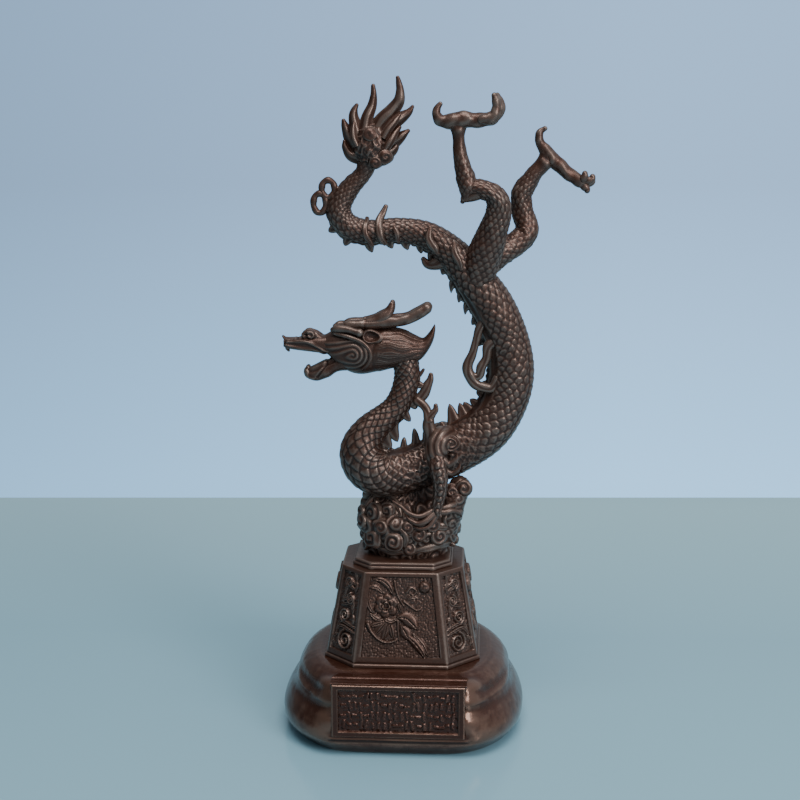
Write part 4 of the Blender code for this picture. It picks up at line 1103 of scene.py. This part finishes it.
def cloudHeap():
    heights, middleX, width, depth = np.array(cloudShape["core"], float).T
    z = np.arange(heights[0], heights[-1], 0.46)
    x, wide, deep = (np.interp(z, heights, column)[:, None] for column in (middleX, width, depth))
    turn = stepsRound(260)
    heap = np.stack([x + wide * np.cos(turn), cloudShape["middleY"] + deep * np.sin(turn),
                     z[:, None] + 0 * turn], axis=2)
    parts = [emboss(heap, cloudField), emboss(tube(cloudShape["pillar"], 0.5, 70),
                                              lambda x, y, z: 1.3 * (scrollCells(x + 3, z, 6.0) - 0.6))]
    for side in (-1, 1):
        for x, z, radius, winds, hand, square in cloudShape["scrolls"]:
            x = turnedOver(x, side)
            y, facing = heapSurface(x, z, side)
            parts.append(cloudCurl((x, y + 0.2 * side, z), facing, radius, winds, -side * hand, square))
        for wisp in cloudShape["wisps"]:
            x, z, radius = np.array(wisp).T
            x = turnedOver(x, side)
            y = heapSurface(x, z, side)[0] + 0.6 * side
            parts.append(tube(np.stack([x, y, z, radius], axis=1), 0.55, 22, ribbonRelief, ends=(0.8, 0.8)))
    for x, z, radius, winds, hand in cloudShape["crown"]:
        parts.append(cloudCurl((x, cloudShape["crownY"], z), (0.1, -1, 0.1), radius, winds, hand))
    return parts


def cornersOf(w, d, cut):
    # an oblong of that half width and half depth with its corners cut off, from the front's left end and
    # round by the right
    return np.array([(-w + cut, -d), (w - cut, -d), (w, -d + cut), (w, d - cut),
                     (w - cut, d), (-w + cut, d), (-w, d - cut), (-w, -d + cut)], float)


def eightSided(levels, shares):
    # rows of points at each height round an oblong with cut corners; shares says how far along each side
    # its columns stand. Also gives each column's side, its share of it from -1 to 1, and half its length.
    side = np.repeat(np.arange(8), [len(share) for share in shares])
    share = np.concatenate(shares)
    corners = np.stack([cornersOf(*level[0]) for level in levels])
    after = np.roll(corners, -1, axis=1)
    plan = corners[:, side] * (1 - share)[None, :, None] + after[:, side] * share[None, :, None]
    height = np.array([level[1] for level in levels], float)[:, None] * np.ones(len(side))
    half = 0.5 * np.linalg.norm(after - corners, axis=2)[:, side]
    return np.concatenate([plan, height[..., None]], axis=2), side, 2 * share - 1, half


def figurePlate():
    size = np.array((26.0, 25.5, 9.5))        # half width, half depth, corner cut
    steps = ((0, 0), (0, 0.15), (0, 1.2), (0.15, 1.5), (1.1, 1.7), (1.1, 2.9), (1.4, 3.2), (4, 3.3))
    levels = [(size - inward, plateHeight + up) for inward, up in steps]
    return eightSided(levels, [np.arange(count) / count for count in [30, 12] * 4])[0]


def makeClouds():
    parts = [skin(part) for part in cloudHeap()] + [skin(figurePlate())]
    makePiece("cloudHeap", parts, **figureCast)


makeClouds()


# Plinth: eight sloped sides, each with a sunk panel of low relief on a pebbled ground

plinthShape = {
    "top": (31.8, 29.6, 13.0), "lip": (39.9, 37.1, 15.5),      # half width, half depth, corner cut
    "topHeight": 89.0, "lipHeight": 42.2, "bottom": 40.3, "footReach": 1.0,
    "borders": ((3.3, 2.4), 3.3, 2.1),                         # beside a broad and a narrow panel, foot, head
    "halfSides": (21.6, 18.4), "narrowShare": 0.27,            # front and ends, what a chamfer's border takes
    "sunk": 1.3, "pebble": 1.25,
    "cells": (136, 36, 70, 36, 74, 36, 70, 36), "rows": 104,   # inside each panel's border, from the front
}


def spiralLine(x, z, radius, winds, start, hand):
    # places on a spiral that winds in from its radius to about an eighth of it
    turn = np.linspace(0, 2 * np.pi * winds, int(13 * winds))
    reach = radius * (1 - 0.88 * turn / turn[-1])
    return [(x + r * math.cos(start + hand * t), z + r * math.sin(start + hand * t))
            for r, t in zip(reach, turn)]


def carve(a, v, strokes):
    # the highest of many rounded strokes: each is as high as a half ellipse over its distance from its
    # line. A leaf swells in the middle and has a vein; a stem narrows a little towards its end.
    height = np.zeros(np.shape(a))
    for kind, line, width, rise in strokes:
        distance, t = nearLine(a, v, line if len(line) > 12 else softLine(line))
        if kind == "leaf":
            breadth = width * np.maximum(np.sin(np.pi * (0.04 + 0.94 * t)), 0.02) ** 0.75
        else:
            breadth = width * (1 - 0.45 * t)
        body = rise * dome(distance / breadth)
        if kind == "leaf":
            body = body * (1 - 0.5 * hump(distance, 0, 0.26))
        height = np.maximum(height, body)
    return height


def flower(a, v, x, z, radius, rise):
    # three rounds of curled petals: each round is a ring whose rim swings out at the middle of a petal and
    # in where two petals meet
    reach, turn = np.hypot(a - x, v - z), np.arctan2(v - z, a - x)
    height = np.zeros(np.shape(a))
    for petals, size, level in ((6, 1.0, 0.75), (5, 0.68, 0.9), (3, 0.38, 1.0)):
        swing = np.abs(np.cos(petals * turn / 2 + 2 * size))
        share = reach / (radius * size * (0.8 + 0.2 * swing))
        petal = dome((share - 0.76) / 0.25) * (0.5 + 0.5 * swing ** 0.5)
        height = np.maximum(height, level * petal)
    return rise * height


frontStrokes = [
    ("leaf", [(-14.5, 44.2), (-10.2, 43.6), (-6.5, 40.8), (-4.0, 36.2)], 2.0, 1.5),
    ("leaf", [(-17.0, 40.0), (-13.0, 39.6), (-9.0, 36.8)], 1.4, 1.2),
    ("stem", [(-3.4, 43.0), (-2.6, 38.6), (-0.6, 33.6), (1.6, 30.4)], 0.8, 1.1),
    ("leaf", [(-17.0, 34.6), (-16.6, 30.4), (-14.2, 26.2)], 1.4, 1.3),
    ("leaf", [(-15.8, 26.0), (-12.6, 23.4), (-9.0, 23.2)], 1.5, 1.5),
    ("leaf", [(-8.6, 23.4), (-5.2, 22.2), (-2.0, 23.6)], 1.5, 1.6),
    ("leaf", [(-1.4, 32.4), (-0.6, 29.4), (0.2, 26.8)], 1.1, 1.3),
    ("stem", [(1.6, 32.6), (4.6, 30.4), (8.0, 28.2), (10.2, 28.8)], 0.8, 1.1),
    ("leaf", [(3.4, 33.4), (5.8, 34.8), (8.6, 34.4)], 0.9, 1.0),
    ("stem", [(2.8, 37.4), (5.0, 39.8), (7.8, 38.4), (6.4, 36.0), (4.6, 37.0)], 0.8, 1.0),
    # broad leaf below the blossom: its rolled rim and four folds
    ("stem", [(-17.0, 20.6), (-15.2, 16.6), (-11.2, 12.6), (-6.8, 11.2), (-2.6, 12.2)], 1.1, 1.9),
    ("leaf", [(-8.4, 21.8), (-12.6, 20.4), (-15.8, 19.6)], 1.7, 1.3),
    ("leaf", [(-7.8, 21.4), (-10.8, 17.6), (-13.0, 15.2)], 1.9, 1.4),
    ("leaf", [(-7.4, 22.4), (-9.6, 17.2), (-10.4, 12.4)], 4.6, 1.0),
    ("leaf", [(-6.8, 21.4), (-7.8, 17.2), (-8.6, 13.4)], 1.9, 1.4),
    ("leaf", [(-5.8, 21.4), (-4.8, 17.6), (-4.0, 13.6)], 1.8, 1.4),
    ("stem", [(-1.6, 22.4), (-1.4, 17.6), (-0.8, 12.4)], 0.8, 1.0),
    # bird: wing, body and long tail
    ("leaf", [(-1.2, 24.6), (3.4, 23.6), (8.6, 18.6)], 3.6, 1.7),
    ("leaf", [(0.4, 19.8), (2.6, 16.4), (4.4, 12.6)], 3.0, 1.5),
    ("leaf", [(2.4, 15.6), (7.2, 11.4), (10.8, 7.0), (12.8, 3.2)], 2.2, 1.7),
    ("leaf", [(6.4, 15.8), (11.2, 10.4), (14.4, 4.2)], 1.5, 1.4),
]


def frontPicture(a, v):
    # a blossom over a broad leaf, a long-tailed bird and a round sun: a stock garden scene
    disc = 2.3 * np.sqrt(np.maximum(1 - (np.hypot(a - 12.0, v - 40.2) / 3.0) ** 3, 0))
    return np.maximum.reduce([carve(a, v, frontStrokes), flower(a, v, -7.6, 30.2, 6.4, 2.1),
                              disc * (0.86 + 0.14 * pebbled(a, v, 1.4))])


def backPicture(a, v):
    # a larger blossom in the middle, and the front's upper and broad leaves on both sides of it
    leaves = frontStrokes[:4] + frontStrokes[10:15]
    return np.maximum.reduce([flower(a, v, 0, 27.0, 8.0, 2.0), carve(a, v, leaves), carve(-a, v, leaves)])


def scrollPicture(a, v):
    # cloud scrolls that climb a narrow panel: curls that turn left and right in step, joined by waves
    strokes = []
    for number, (z, radius) in enumerate(((9.8, 5.4), (22.4, 3.6), (31.6, 3.0), (40.0, 2.8))):
        hand = 1 if number % 2 else -1
        reach = radius * hand
        strokes.append(("stem", spiralLine(1.4 * hand, z, radius, 2.1, -hand * 1.2, hand), 0.8, 1.7))
        for low in (z, z + 2.6):            # waves that sweep from one scroll over to the next
            strokes.append(("leaf", [(-1.3 * reach, low + 1.4), (-0.6 * reach, low + 6.4),
                                     (1.5 * reach, low + 4.8)], 1.2, 1.5))
        strokes.append(("leaf", [(-1.3 * reach, z - 4.4), (-1.5 * reach, z - 1.0), (-1.0 * reach, z + 2.0)],
                        1.0, 1.3))
    return carve(a, v, strokes)


def facingPicture(a, v):
    # two bold curls under the rim, two more below, waves and a blossom between them
    strokes = []
    for hand in (-1, 1):
        upper = spiralLine(8.4 * hand, 36.6, 5.4, 1.9, -1.2 * hand - np.pi / 2, hand)
        lower = spiralLine(9.8 * hand, 14.6, 5.6, 1.9, 1.0 * hand + np.pi / 2, -hand)
        strokes += [("stem", upper, 1.25, 3.0), ("stem", lower, 1.1, 2.0),
                    ("leaf", [(1.2 * hand, 7.4), (6.6 * hand, 5.4), (13.6 * hand, 6.2)], 1.5, 1.4),
                    ("leaf", [(1.0 * hand, 29.0), (3.0 * hand, 33.6), (1.6 * hand, 40.6)], 1.8, 1.6),
                    ("leaf", [(3.0 * hand, 24.0), (9.4 * hand, 26.6), (15.6 * hand, 23.0)], 1.7, 1.5)]
    body = 2.0 * dome(np.hypot(np.abs(a) - 8.4, v - 36.6) / 5.6)
    return np.maximum.reduce([carve(a, v, strokes), body, flower(a, v, 0, 20.6, 5.0, 1.6)])


def plinthRelief(side, share, half, v, slope):
    # stands off along the sloped sides: a frame, a sunk ground with pebbles, and the carving on it
    shape = plinthShape
    a = share * half
    (broad, narrow), foot, head = shape["borders"]
    border = np.where(side % 2 == 0, broad, narrow)[None, :]
    inward = np.minimum((half - np.abs(a)) / border, np.minimum(v / foot, (slope - v) / head))
    sunk = ease(inward, 0.94, 1.10)
    carved = np.zeros(np.shape(a))
    pictures = {0: frontPicture, 4: backPicture, 2: facingPicture, 6: facingPicture}
    for number in range(8):
        on = side == number
        hand = -1 if number in (3, 7) else 1
        carved[:, on] = pictures.get(number, scrollPicture)(hand * a[:, on], v[:, on])
    ground = 0.36 * pebbled(a + 50 * side, v, shape["pebble"]) * (carved < 0.15)
    edge = 0.35 * ease(1 - inward, 0.75, 1.0)                  # outer arrises are rounded off
    return (ground - shape["sunk"] + carved) * sunk - edge


def finerAtEnds(low, high, counts):
    # steps from 0 to 1, finer across the borders that take up the low and the high share
    return np.concatenate([np.linspace(0, 0.9 * low, counts[0]),
                           np.linspace(0.94 * low, 1 - 0.94 * high, counts[1]),
                           np.linspace(1 - 0.88 * high, 1, counts[2])])


def makePlinth():
    # rows from the underside up: the step at the foot, the sloped sides, whose grid is finer at the panels'
    # edges, and the rounded rim
    shape = plinthShape
    lip, top = np.array(shape["lip"]), np.array(shape["top"])
    lipHeight, topHeight = shape["lipHeight"], shape["topHeight"]
    foot = lip + shape["footReach"]
    rise = topHeight - lipHeight
    slope = math.hypot(rise, lip[0] - top[0])
    (broad, _), *borders = shape["borders"]
    steps = finerAtEnds(*(border / slope for border in borders), (8, shape["rows"], 7))
    levels = [((20, 18, 7), shape["bottom"]), (foot, shape["bottom"]), (foot, shape["bottom"] + 0.15),
              (foot, lipHeight - 0.9), (foot - 0.12, lipHeight - 0.55), (lip + 0.35, lipHeight - 0.2)]
    first, last = len(levels), len(levels) + len(steps)
    levels += [(lip + (top - lip) * step, lipHeight + rise * step) for step in steps]
    levels += [(top - 0.6, topHeight + 0.02), (top - 1.2, topHeight), (top - 6, topHeight),
               (top * 0.4, topHeight)]
    taken = [share for half in shape["halfSides"] for share in (broad / half, shape["narrowShare"])] * 2
    shares = [finerAtEnds(0.5 * border, 0.5 * border, (5, count, 5))[:-1]
              for border, count in zip(taken, shape["cells"])]
    points, side, share, half = eightSided(levels, shares)
    lift = np.zeros(half.shape)
    lift[first:last] = plinthRelief(side, share[None, :], half[first:last],
                                    slope * steps[:, None] * np.ones(half.shape[1]), slope)
    lean = math.atan2(lip[0] - top[0], rise)
    turn = (side - 2) * np.pi / 4
    normal = np.stack([np.cos(turn) * math.cos(lean), np.sin(turn) * math.cos(lean),
                       np.full(len(turn), math.sin(lean))], axis=1)
    points = points + lift[..., None] * normal[None]
    wearAndPaintedLight = wearAndPaintedLightOf(points, 2.2, 1)
    wearAndPaintedLight[first:last] += 0.45 * hump(half[first:last] * (1 - np.abs(share)), 0, 0.3)        # rubbed arrises, painted as bright highlight lines
    wearAndPaintedLight[[last - 1, last]] += 0.3                                                          # and rim
    block = skin(points, np.clip(wearAndPaintedLight, 0, 1))
    makePiece("plinthBlock", [block], plinthBronze, "plinth_bronze", "plinth", sharp=40)


makePlinth()


# Foot: two rounded tiers with a flat front and back, and a framed plaque

footShape = {
    "halfWidth": 64.2, "halfDepth": footHalfDepth, "rounding": 9.8, "squareness": 2.4, "top": 40.0,
    "profile": [   # z, how far inward
        (0, 6.5), (0.5, 4.9), (1.6, 3.8), (3, 2.8), (6, 0.9), (9, 0), (14, 0.2), (20, 2.9), (24, 5.6),
        (26.8, 7.2), (28.4, 7.3), (31, 7.8), (35, 10.2), (38.0, 13.6), (39.6, 17.0), (40, 19.2)],
    "columns": 264,
}
plaqueShape = {
    "halfWidth": 33.6, "face": 59.2, "bottom": 11.2, "top": 39.0, "ledge": 9.0, "recess": 1.5,
    "frame": (3.3, 2.9, 2.6),                                   # ends, foot, head
    "strokeRows": 4, "strokePitch": 2.9, "strokeRise": 0.8,
}


def footRing(inward, z, turn):
    # superellipse whose depth is cut off flat in front and behind, less so near the table
    shape = footShape
    width, flat = shape["halfWidth"] - inward, shape["halfDepth"] - inward
    x, y = np.cos(turn), np.sin(turn)
    power = shape["squareness"]
    reach = (np.abs(x) ** power + np.abs(y) ** power) ** (-1 / power)
    rounded = (flat + shape["rounding"] - 5.0 * (1 - ease(z, 1, 11))) * reach * np.abs(y)
    depth = flat - 1.8 * np.log1p(np.exp((flat - rounded) / 1.8))        # the lesser of the two, blended
    return np.stack([width * reach * x, np.sign(y) * depth, z + 0 * x], axis=-1)


def footField(x, y, z):
    # slow waviness of the casting; towards the front the tiers run into one slope, and the wall sweeps out
    # to meet the plaque's block; a fine moulding with a groove below it runs under the plaque
    wavy = 0.45 * (lumps(x, y, z, 15.0) - 0.5) + 0.12 * (lumps(x, y, z, 4.0) - 0.5)
    front = ease(-y, 0, 34)
    seam = front * (0.9 * hump(z, 27, 2.6) - 1.2 * hump(z, 32, 3.2))
    beside = np.maximum(np.abs(x) - plaqueShape["halfWidth"], 0)
    sweep = ((2.6 + 3.4 * ease(z, 21, 31)) * np.exp(-(beside / 7.0) ** 1.6) * ease(-y, 34, 46)
             * ease(z, 12, 20) * (1 - ease(z, 33, 39)))
    under = ease(-y, 54, 56) * (1 - ease(np.abs(x), 34, 37))
    return (wavy * ease(z, 0.3, 2.5) * (1 - ease(z, 38.5, 39.5)) + seam + sweep
            + under * (0.5 * hump(z, 9.9, 0.5) - 0.4 * hump(z, 8.9, 0.45)))


def footWalls():
    rows = curveThrough([(inward, 0, z) for z, inward in footShape["profile"]], 0.62)[0]
    turn = 2 * np.pi * (np.arange(footShape["columns"]) + 0.5) / footShape["columns"]
    # rings across the underside, up the wall, and across the top as far as under the plinth
    rings = [footRing(30.0, 0.0, turn), footRing(8.0, 0.0, turn)]
    rings += [footRing(inward, z, turn) for inward, _, z in rows]
    rings += [footRing(inward, footShape["top"], turn) for inward in (20.0, 24.0, 34.0, 48.0)]
    walls = emboss(np.stack(rings), footField)
    walls[:, :, 2] = np.clip(walls[:, :, 2], 0, footShape["top"])
    wearAndPaintedLight = wearAndPaintedLightOf(walls, 3.0, 2)
    x, y, z = np.moveaxis(walls, 2, 0)          # the wall gives way behind the plaque's block
    walls[..., 1] += (3.0 * ease(-y, 45, 50) * (1 - ease(np.abs(x), 32.2, 33.4)) * ease(z, 12, 13)
                      * (1 - ease(z, 36, 37.5)))
    return walls, wearAndPaintedLight


def plaqueStrokes(x, z):
    # rows of short strokes, some level and some upright, of uneven length; they stand for writing and say
    # nothing
    shape = plaqueShape
    ends, foot, head = shape["frame"]
    low, high = shape["bottom"] + foot + 0.8, shape["top"] - head - 0.8
    pitch, across = (high - low) / shape["strokeRows"], shape["strokePitch"]
    row, number = np.floor((z - low) / pitch), np.floor(x / across)
    offX = x - (number + 0.35 + 0.3 * dice(number, row)) * across
    offZ = z - low - (row + 0.4 + 0.2 * dice(number + 5, row)) * pitch
    upright = dice(row + 9, number) > 0.4
    along, beside = np.where(upright, offZ, offX), np.where(upright, offX, offZ)
    beside = beside + 0.4 * (dice(row + 5, number) - 0.5) * along
    reach = np.where(upright, 1.0, 0.4) + 1.0 * dice(number, row + 3)
    off = np.hypot(np.maximum(np.abs(along) - reach, 0), beside)
    inside = (np.abs(x) < shape["halfWidth"] - ends - 1.0) & (z > low) & (z < high)
    return shape["strokeRise"] * dome(off / 0.85) * inside


def plaqueBlock():
    shape = plaqueShape
    face, ledge = -shape["face"], -shape["face"] + shape["ledge"]
    # the outline from the side, y and z, whose back is buried in the wall, then the columns of each stretch
    corners = [(-35.0, shape["bottom"] - 1), (face, shape["bottom"]), (face, shape["top"]),
               (ledge, shape["top"]), (ledge + 1, 39.7), (-38.0, 38.4)]
    counts = (6, 76, 20, 4, 5, 6)
    outline = []
    for (y0, z0), (y1, z1), count in zip(corners, corners[1:] + corners[:1], counts):
        t = np.arange(count)[:, None] / count
        outline.append(np.array([y0, z0]) * (1 - t) + np.array([y1, z1]) * t)
    outline = np.vstack(outline)
    x = np.linspace(-shape["halfWidth"], shape["halfWidth"], 180)[:, None]
    points = np.stack([x + 0 * outline[:, 0], outline[:, 0] + 0 * x, outline[:, 1] + 0 * x], axis=2)
    front = np.abs(outline[:, 0] - face) < 1e-6
    frontX, frontZ = points[:, front, 0], points[:, front, 2]
    ends, foot, head = shape["frame"]
    fromSide = shape["halfWidth"] - np.abs(frontX)
    inward = np.minimum(fromSide / ends, np.minimum((frontZ - shape["bottom"]) / foot,
                                                    (shape["top"] - frontZ) / head))
    strokes = plaqueStrokes(frontX, frontZ)
    ground = 0.25 * pebbled(frontX, frontZ, 1.3) * (strokes < 0.1)
    sunk = ease(inward, 0.93, 1.10)
    points[:, front, 1] += sunk * (shape["recess"] - strokes - ground) + 0.5 * ease(1 - inward, 0.86, 1.0)
    top = (np.abs(outline[:, 1] - shape["top"]) < 1e-6) & (outline[:, 0] > face + 0.5)
    along = points[:, top, 1]            # two grooves along the ledge on top
    points[:, top, 2] -= 0.5 * hump(along, face + 3.0, 0.5) + 0.5 * hump(along, face + 6.0, 0.5)
    wearAndPaintedLight = wearAndPaintedLightOf(points, 1.5, 1)
    # bright lines along the frame's outer and inner edges: worn arrises with painted highlights
    wearAndPaintedLight[:, front] += 0.5 * hump(inward, 0.06, 0.12) + 0.4 * hump(inward, 0.9, 0.1)
    # the ends are chamfered in front and draw in towards the back
    y = points[..., 1]
    points[..., 0] *= 1 + 0.01 * np.minimum(y - face, 3) - 0.013 * np.maximum(y - ledge, 0)
    return points, np.clip(wearAndPaintedLight, 0, 1)


def makeFoot():
    parts = [skin(*footWalls()), skin(*plaqueBlock())]
    makePiece("footTiers", parts, baseBronze, "base_bronze", "base", sharp=42)


makeFoot()


# Camera, table, wall and lights

cameraPlace = {"azimuth": 3.25, "elevation": 11.5, "distance": 750.0, "aim": (-2.3, 0.0, 174.0),
               "lens": 64.44}
stageLook = {
    "tableTop": (0.25, 0.45, 0.55), "tableFar": (0.37, 0.60, 0.69), "tableRoughness": 0.16,
    "tableEdge": 440.0,                                        # how far behind the figure, in millimetres
    "tableReach": 2.5, "tableThick": 0.02, "tablePaler": (0.12, 0.42),         # in metres
    "wallLow": (0.52, 1.02, 1.58), "wallHigh": (0.42, 0.67, 1.02),
    "wallRange": (-0.25, -0.05),                               # the steepness at which low becomes high
    "roomLow": (0.36, 0.43, 0.47), "roomHigh": (0.62, 0.72, 0.80),             # the light of the room
    "roomRange": (-0.1, 0.6),
    "roomSides": (0.22, 1.1), "wallSides": (0.77, 1.07),       # strength on the left and on the right
    "lights": [   # name, place, aim, size, power, colour
        ("overhead", (0.1, -0.5, 1.5), (0, 0, 0.15), (1.0, 0.8), 17.0, (1.0, 0.98, 0.95)),
        ("window", (1.0, -1.1, 0.8), (0, 0, 0.12), (0.55, 0.7), 12.0, (1.0, 0.97, 0.94))],
}


def addCamera(place):
    camera = bpy.data.cameras.new("mainView")
    camera.lens, camera.sensor_width = place["lens"], 36.0
    camera.clip_start, camera.clip_end = 0.01, 50
    holder = addObject("mainView", camera)
    turn, tilt = math.radians(place["azimuth"]), math.radians(place["elevation"])
    away = Vector((math.sin(turn) * math.cos(tilt), -math.cos(turn) * math.cos(tilt), math.sin(tilt)))
    aim = Vector(middle) + mm * Vector(place["aim"])
    holder.location = aim + mm * place["distance"] * away
    holder.rotation_euler = (-away).to_track_quat("-Z", "Y").to_euler()
    bpy.context.scene.camera = holder


def addSoftLight(name, place, aim, size, power, colour):
    light = bpy.data.lights.new(name, "AREA")
    light.shape, light.size, light.size_y = "RECTANGLE", size[0], size[1]
    light.energy, light.color = power, colour
    holder = addObject(name, light)
    holder.location = place
    holder.rotation_euler = (Vector(place) - Vector(aim)).to_track_quat("Z", "Y").to_euler()


def addTable():
    # pale glossy table top, whose far edge runs level across the view behind the figure
    look, turn = stageLook, math.radians(cameraPlace["azimuth"])
    across = Vector((math.cos(turn), math.sin(turn), 0)) * look["tableReach"]
    back = Vector((-math.sin(turn), math.cos(turn), 0))
    far, near = back * look["tableEdge"] * mm, back * -look["tableReach"]
    corners = [near - across, near + across, far + across, far - across]
    below = [corner - Vector((0, 0, look["tableThick"])) for corner in corners]
    mesh = bpy.data.meshes.new("tableTop")
    mesh.from_pydata(corners + below, [],
                     [(0, 1, 2, 3), (7, 6, 5, 4), (0, 4, 5, 1), (1, 5, 6, 2), (2, 6, 7, 3), (3, 7, 4, 0)])
    top = addObject("tableTop", mesh)
    material = bpy.data.materials.new("paleTable")
    material.use_nodes = True
    tree = material.node_tree               # paler towards its far edge: a painted reflection of the pale wall, seen at a low angle
    shader = tree.nodes["Principled BSDF"]
    parts = tree.nodes.new("ShaderNodeSeparateXYZ")
    tree.links.new(tree.nodes.new("ShaderNodeTexCoord").outputs["Object"], parts.inputs[0])
    share = rangeNode(tree, parts.outputs["Y"], *look["tablePaler"])
    tone = mixNode(tree, share, (*look["tableTop"], 1.0), (*look["tableFar"], 1.0))
    tree.links.new(tone, shader.inputs["Base Color"])
    shader.inputs["Roughness"].default_value = look["tableRoughness"]
    mesh.materials.append(material)


def paintWorld():
    # what the camera sees is a pale wall, brighter towards the table; what lights the figure is a softer room
    look = stageLook
    world = bpy.data.worlds.new("paleWall")
    bpy.context.scene.world = world
    world.use_nodes = True
    tree = world.node_tree
    room = tree.nodes["Background"]
    wall = tree.nodes.new("ShaderNodeBackground")
    parts = tree.nodes.new("ShaderNodeSeparateXYZ")
    tree.links.new(tree.nodes.new("ShaderNodeTexCoord").outputs["Generated"], parts.inputs[0])
    for name, back, left, right in (("wall", wall, -0.32, 0.1), ("room", room, -0.9, 0.9)):
        share = rangeNode(tree, parts.outputs["Z"], *look[name + "Range"])
        tone = mixNode(tree, share, (*look[name + "Low"], 1.0), (*look[name + "High"], 1.0))
        tree.links.new(tone, back.inputs["Color"])
        strength = rangeNode(tree, parts.outputs["X"], left, right, *look[name + "Sides"])
        tree.links.new(strength, back.inputs["Strength"])
    seen = tree.nodes.new("ShaderNodeMixShader")
    tree.links.new(tree.nodes.new("ShaderNodeLightPath").outputs["Is Camera Ray"], seen.inputs[0])
    tree.links.new(room.outputs[0], seen.inputs[1])
    tree.links.new(wall.outputs[0], seen.inputs[2])
    tree.links.new(seen.outputs[0], tree.nodes["World Output"].inputs["Surface"])


addCamera(cameraPlace)
addTable()
paintWorld()
for light in stageLook["lights"]:
    addSoftLight(*light)
print("stage set")
